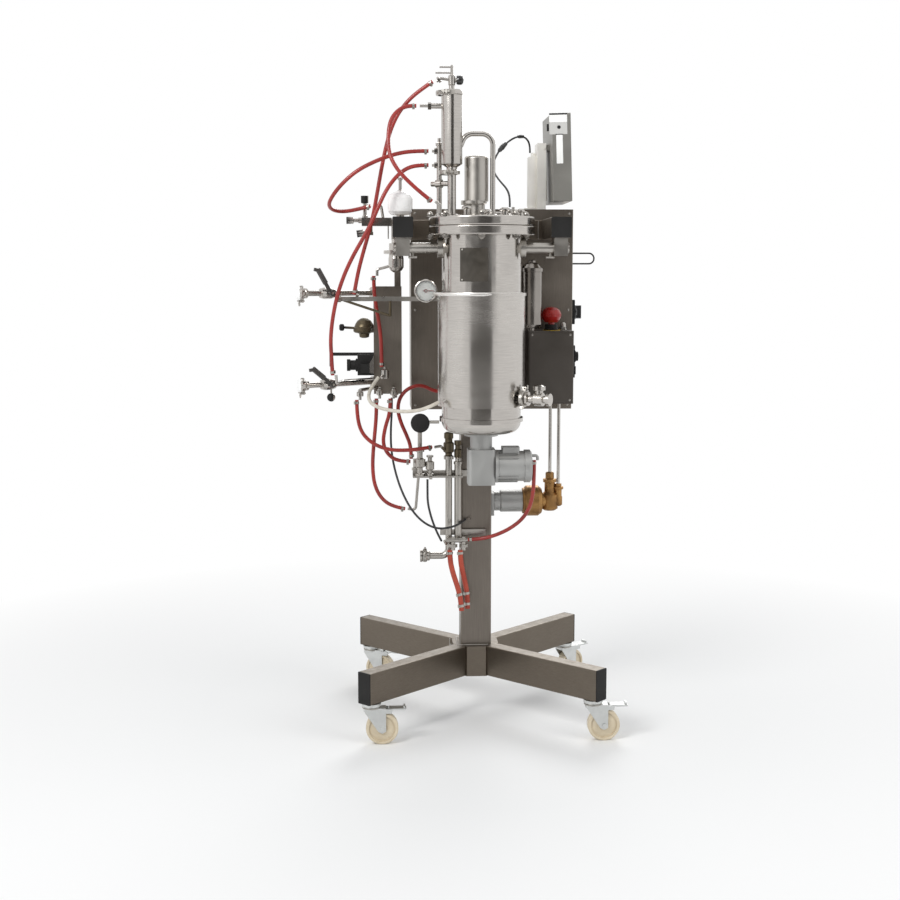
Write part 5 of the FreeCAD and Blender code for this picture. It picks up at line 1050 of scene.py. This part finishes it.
# %% Stop button
stop_low, stop_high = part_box("emergency_stop")
stop_middle = (stop_low + stop_high) / 2
STOP_RADIUS = (stop_high.x - stop_low.x) / 2
RIBS = 24
rim = Vector((stop_middle.x, stop_middle.y, stop_high.z - 0.0272))
mesh = bmesh.new()
for k in range(RIBS):
    turn = k * 360 / RIBS
    spot = rim + level_way(turn) * (STOP_RADIUS - 0.0002)
    block_mesh(mesh, (0.0016, 0.003, 0.01),
               shift(spot) @ Matrix.Rotation(math.radians(turn), 4, "Z"), 0.0005)
keep("stop_ribs", mesh, STOP_RED, "emergency_stop")
mesh = bmesh.new()
turned_mesh(mesh, [(0.0232, 0), (0.03, 0), (0.03, 0.0008), (0.0232, 0.0008)],
            shift((stop_middle.x, stop_middle.y, box_high.z + 0.0001)), 48)
keep("stop_ring", mesh, STOP_YELLOW)
print("stop radius:", round(STOP_RADIUS, 4))

# %% [markdown]
# ## Drive and pump
# A motor is cooled by fins along its body, apart from where its terminal housing sits. The
# pump's casing is bolted round its rim. Both are rows of one shape turned about an axis.

# %% Motor fins and pump bolts
drive_axis = at(0, VESSEL_Y, 0.85)
HOUSING_FROM, HOUSING_TO = 55, 125
mesh = bmesh.new()
for angle in range(0, 360, 18):
    if HOUSING_FROM < angle < HOUSING_TO:
        continue
    turn = shift(drive_axis) @ Matrix.Rotation(math.radians(angle), 4, "X")
    block_mesh(mesh, (0.066, 0.0025, 0.009), turn @ shift((0.09, 0, 0.0465)), 0.0006)
keep("motor_fins", mesh, CAST_GREY)

pump_axis = at(0, 0, 0.701)
mesh = bmesh.new()
for k in range(8):
    angle = 2 * math.pi * (k + 0.5) / 8
    spot = pump_axis + Vector((0.2075, math.cos(angle) * 0.036, math.sin(angle) * 0.036))
    turned_mesh(mesh, [(0.0048, 0), (0.0048, 0.004), (0.003, 0.005), (0, 0.005)],
                axis_frame(spot, X), 6)
keep("pump_bolts", mesh, SATIN)
print("drive and pump dressed")

# %% [markdown]
# ## Casters
# Each caster turns on a ball race under its stem and each wheel has a pale hub cover. A
# cover rides on its wheel, so it rolls; the race's ring rides on the fork.

# %% Caster details
joints = {joint["name"]: joint for joint in frame["joints"]}
for number in range(1, 5):
    roll = joints[f"roll_{number}"]
    centre, axle = Vector(roll["pos_m"]), Vector(roll["axis"])
    mesh = bmesh.new()
    for side in (-1, 1):
        turned_mesh(mesh, [(0.038, 0), (0.036, 0.0012), (0.018, 0.0016), (0.016, 0.003)],
                    axis_frame(centre + axle * side * 0.0098, axle * side), 48)
    keep(f"hub_cover_{number}", mesh, WARM_LIT_NYLON, f"wheel_{number}")
    x, y, _ = joints[f"swivel_{number}"]["pos_m"]
    mesh = bmesh.new()
    turned_mesh(mesh, [(0.0272, 0.1135), (0.0286, 0.1145), (0.0286, 0.1165), (0.0272, 0.1175)],
                shift((x, y, 0)), 48)
    keep(f"swivel_ring_{number}", mesh, SATIN, f"caster_{number}")
print("casters dressed")

# %% [markdown]
# ## Welds
# The frame is welded, and a bead shows wherever two tubes meet. A bead is a thin rod with
# a wavy skin; here every second ring along it is a little thinner.


# %% Weld beads
def bead(mesh, start, end, radius=0.0022):
    run = end - start
    count = max(4, int(run.length / (radius * 0.9)))
    way = run.normalized()
    skin = [(radius * (1.0 if k % 2 else 0.8), run.length * k / count) for k in range(count + 1)]
    turned_mesh(mesh, [(0, 0), *skin, (0, run.length)], axis_frame(start, way), 8)


mesh = bmesh.new()
half = COLUMN_SIDE / 2
for x0, y0, x1, y1 in ((-half, -half, half, -half), (-half, half, half, half),
                       (-half, -half, -half, half), (half, -half, half, half)):
    bead(mesh, at(x0, y0, 0.23), at(x1, y1, 0.23))
    bead(mesh, at(x0, y0, 1.551), at(x1, y1, 1.551))
for turn in (45, 135, 225, 315):
    out = level_way(turn)
    side = Vector((-out.y, out.x, 0))
    for s in (-1, 1):
        spot = FOOT + out * 0.0752 + side * (s * 0.0252)
        bead(mesh, spot + Z * 0.131, spot + Z * 0.229)
for side in (-1, 1):
    for x in (0.24 - 0.031, 0.24 + 0.031):
        bead(mesh, at(side * x, -0.0312, 1.553), at(side * x, -0.0312, 1.611))
keep("weld_beads", mesh, SATIN)
print("weld beads laid")
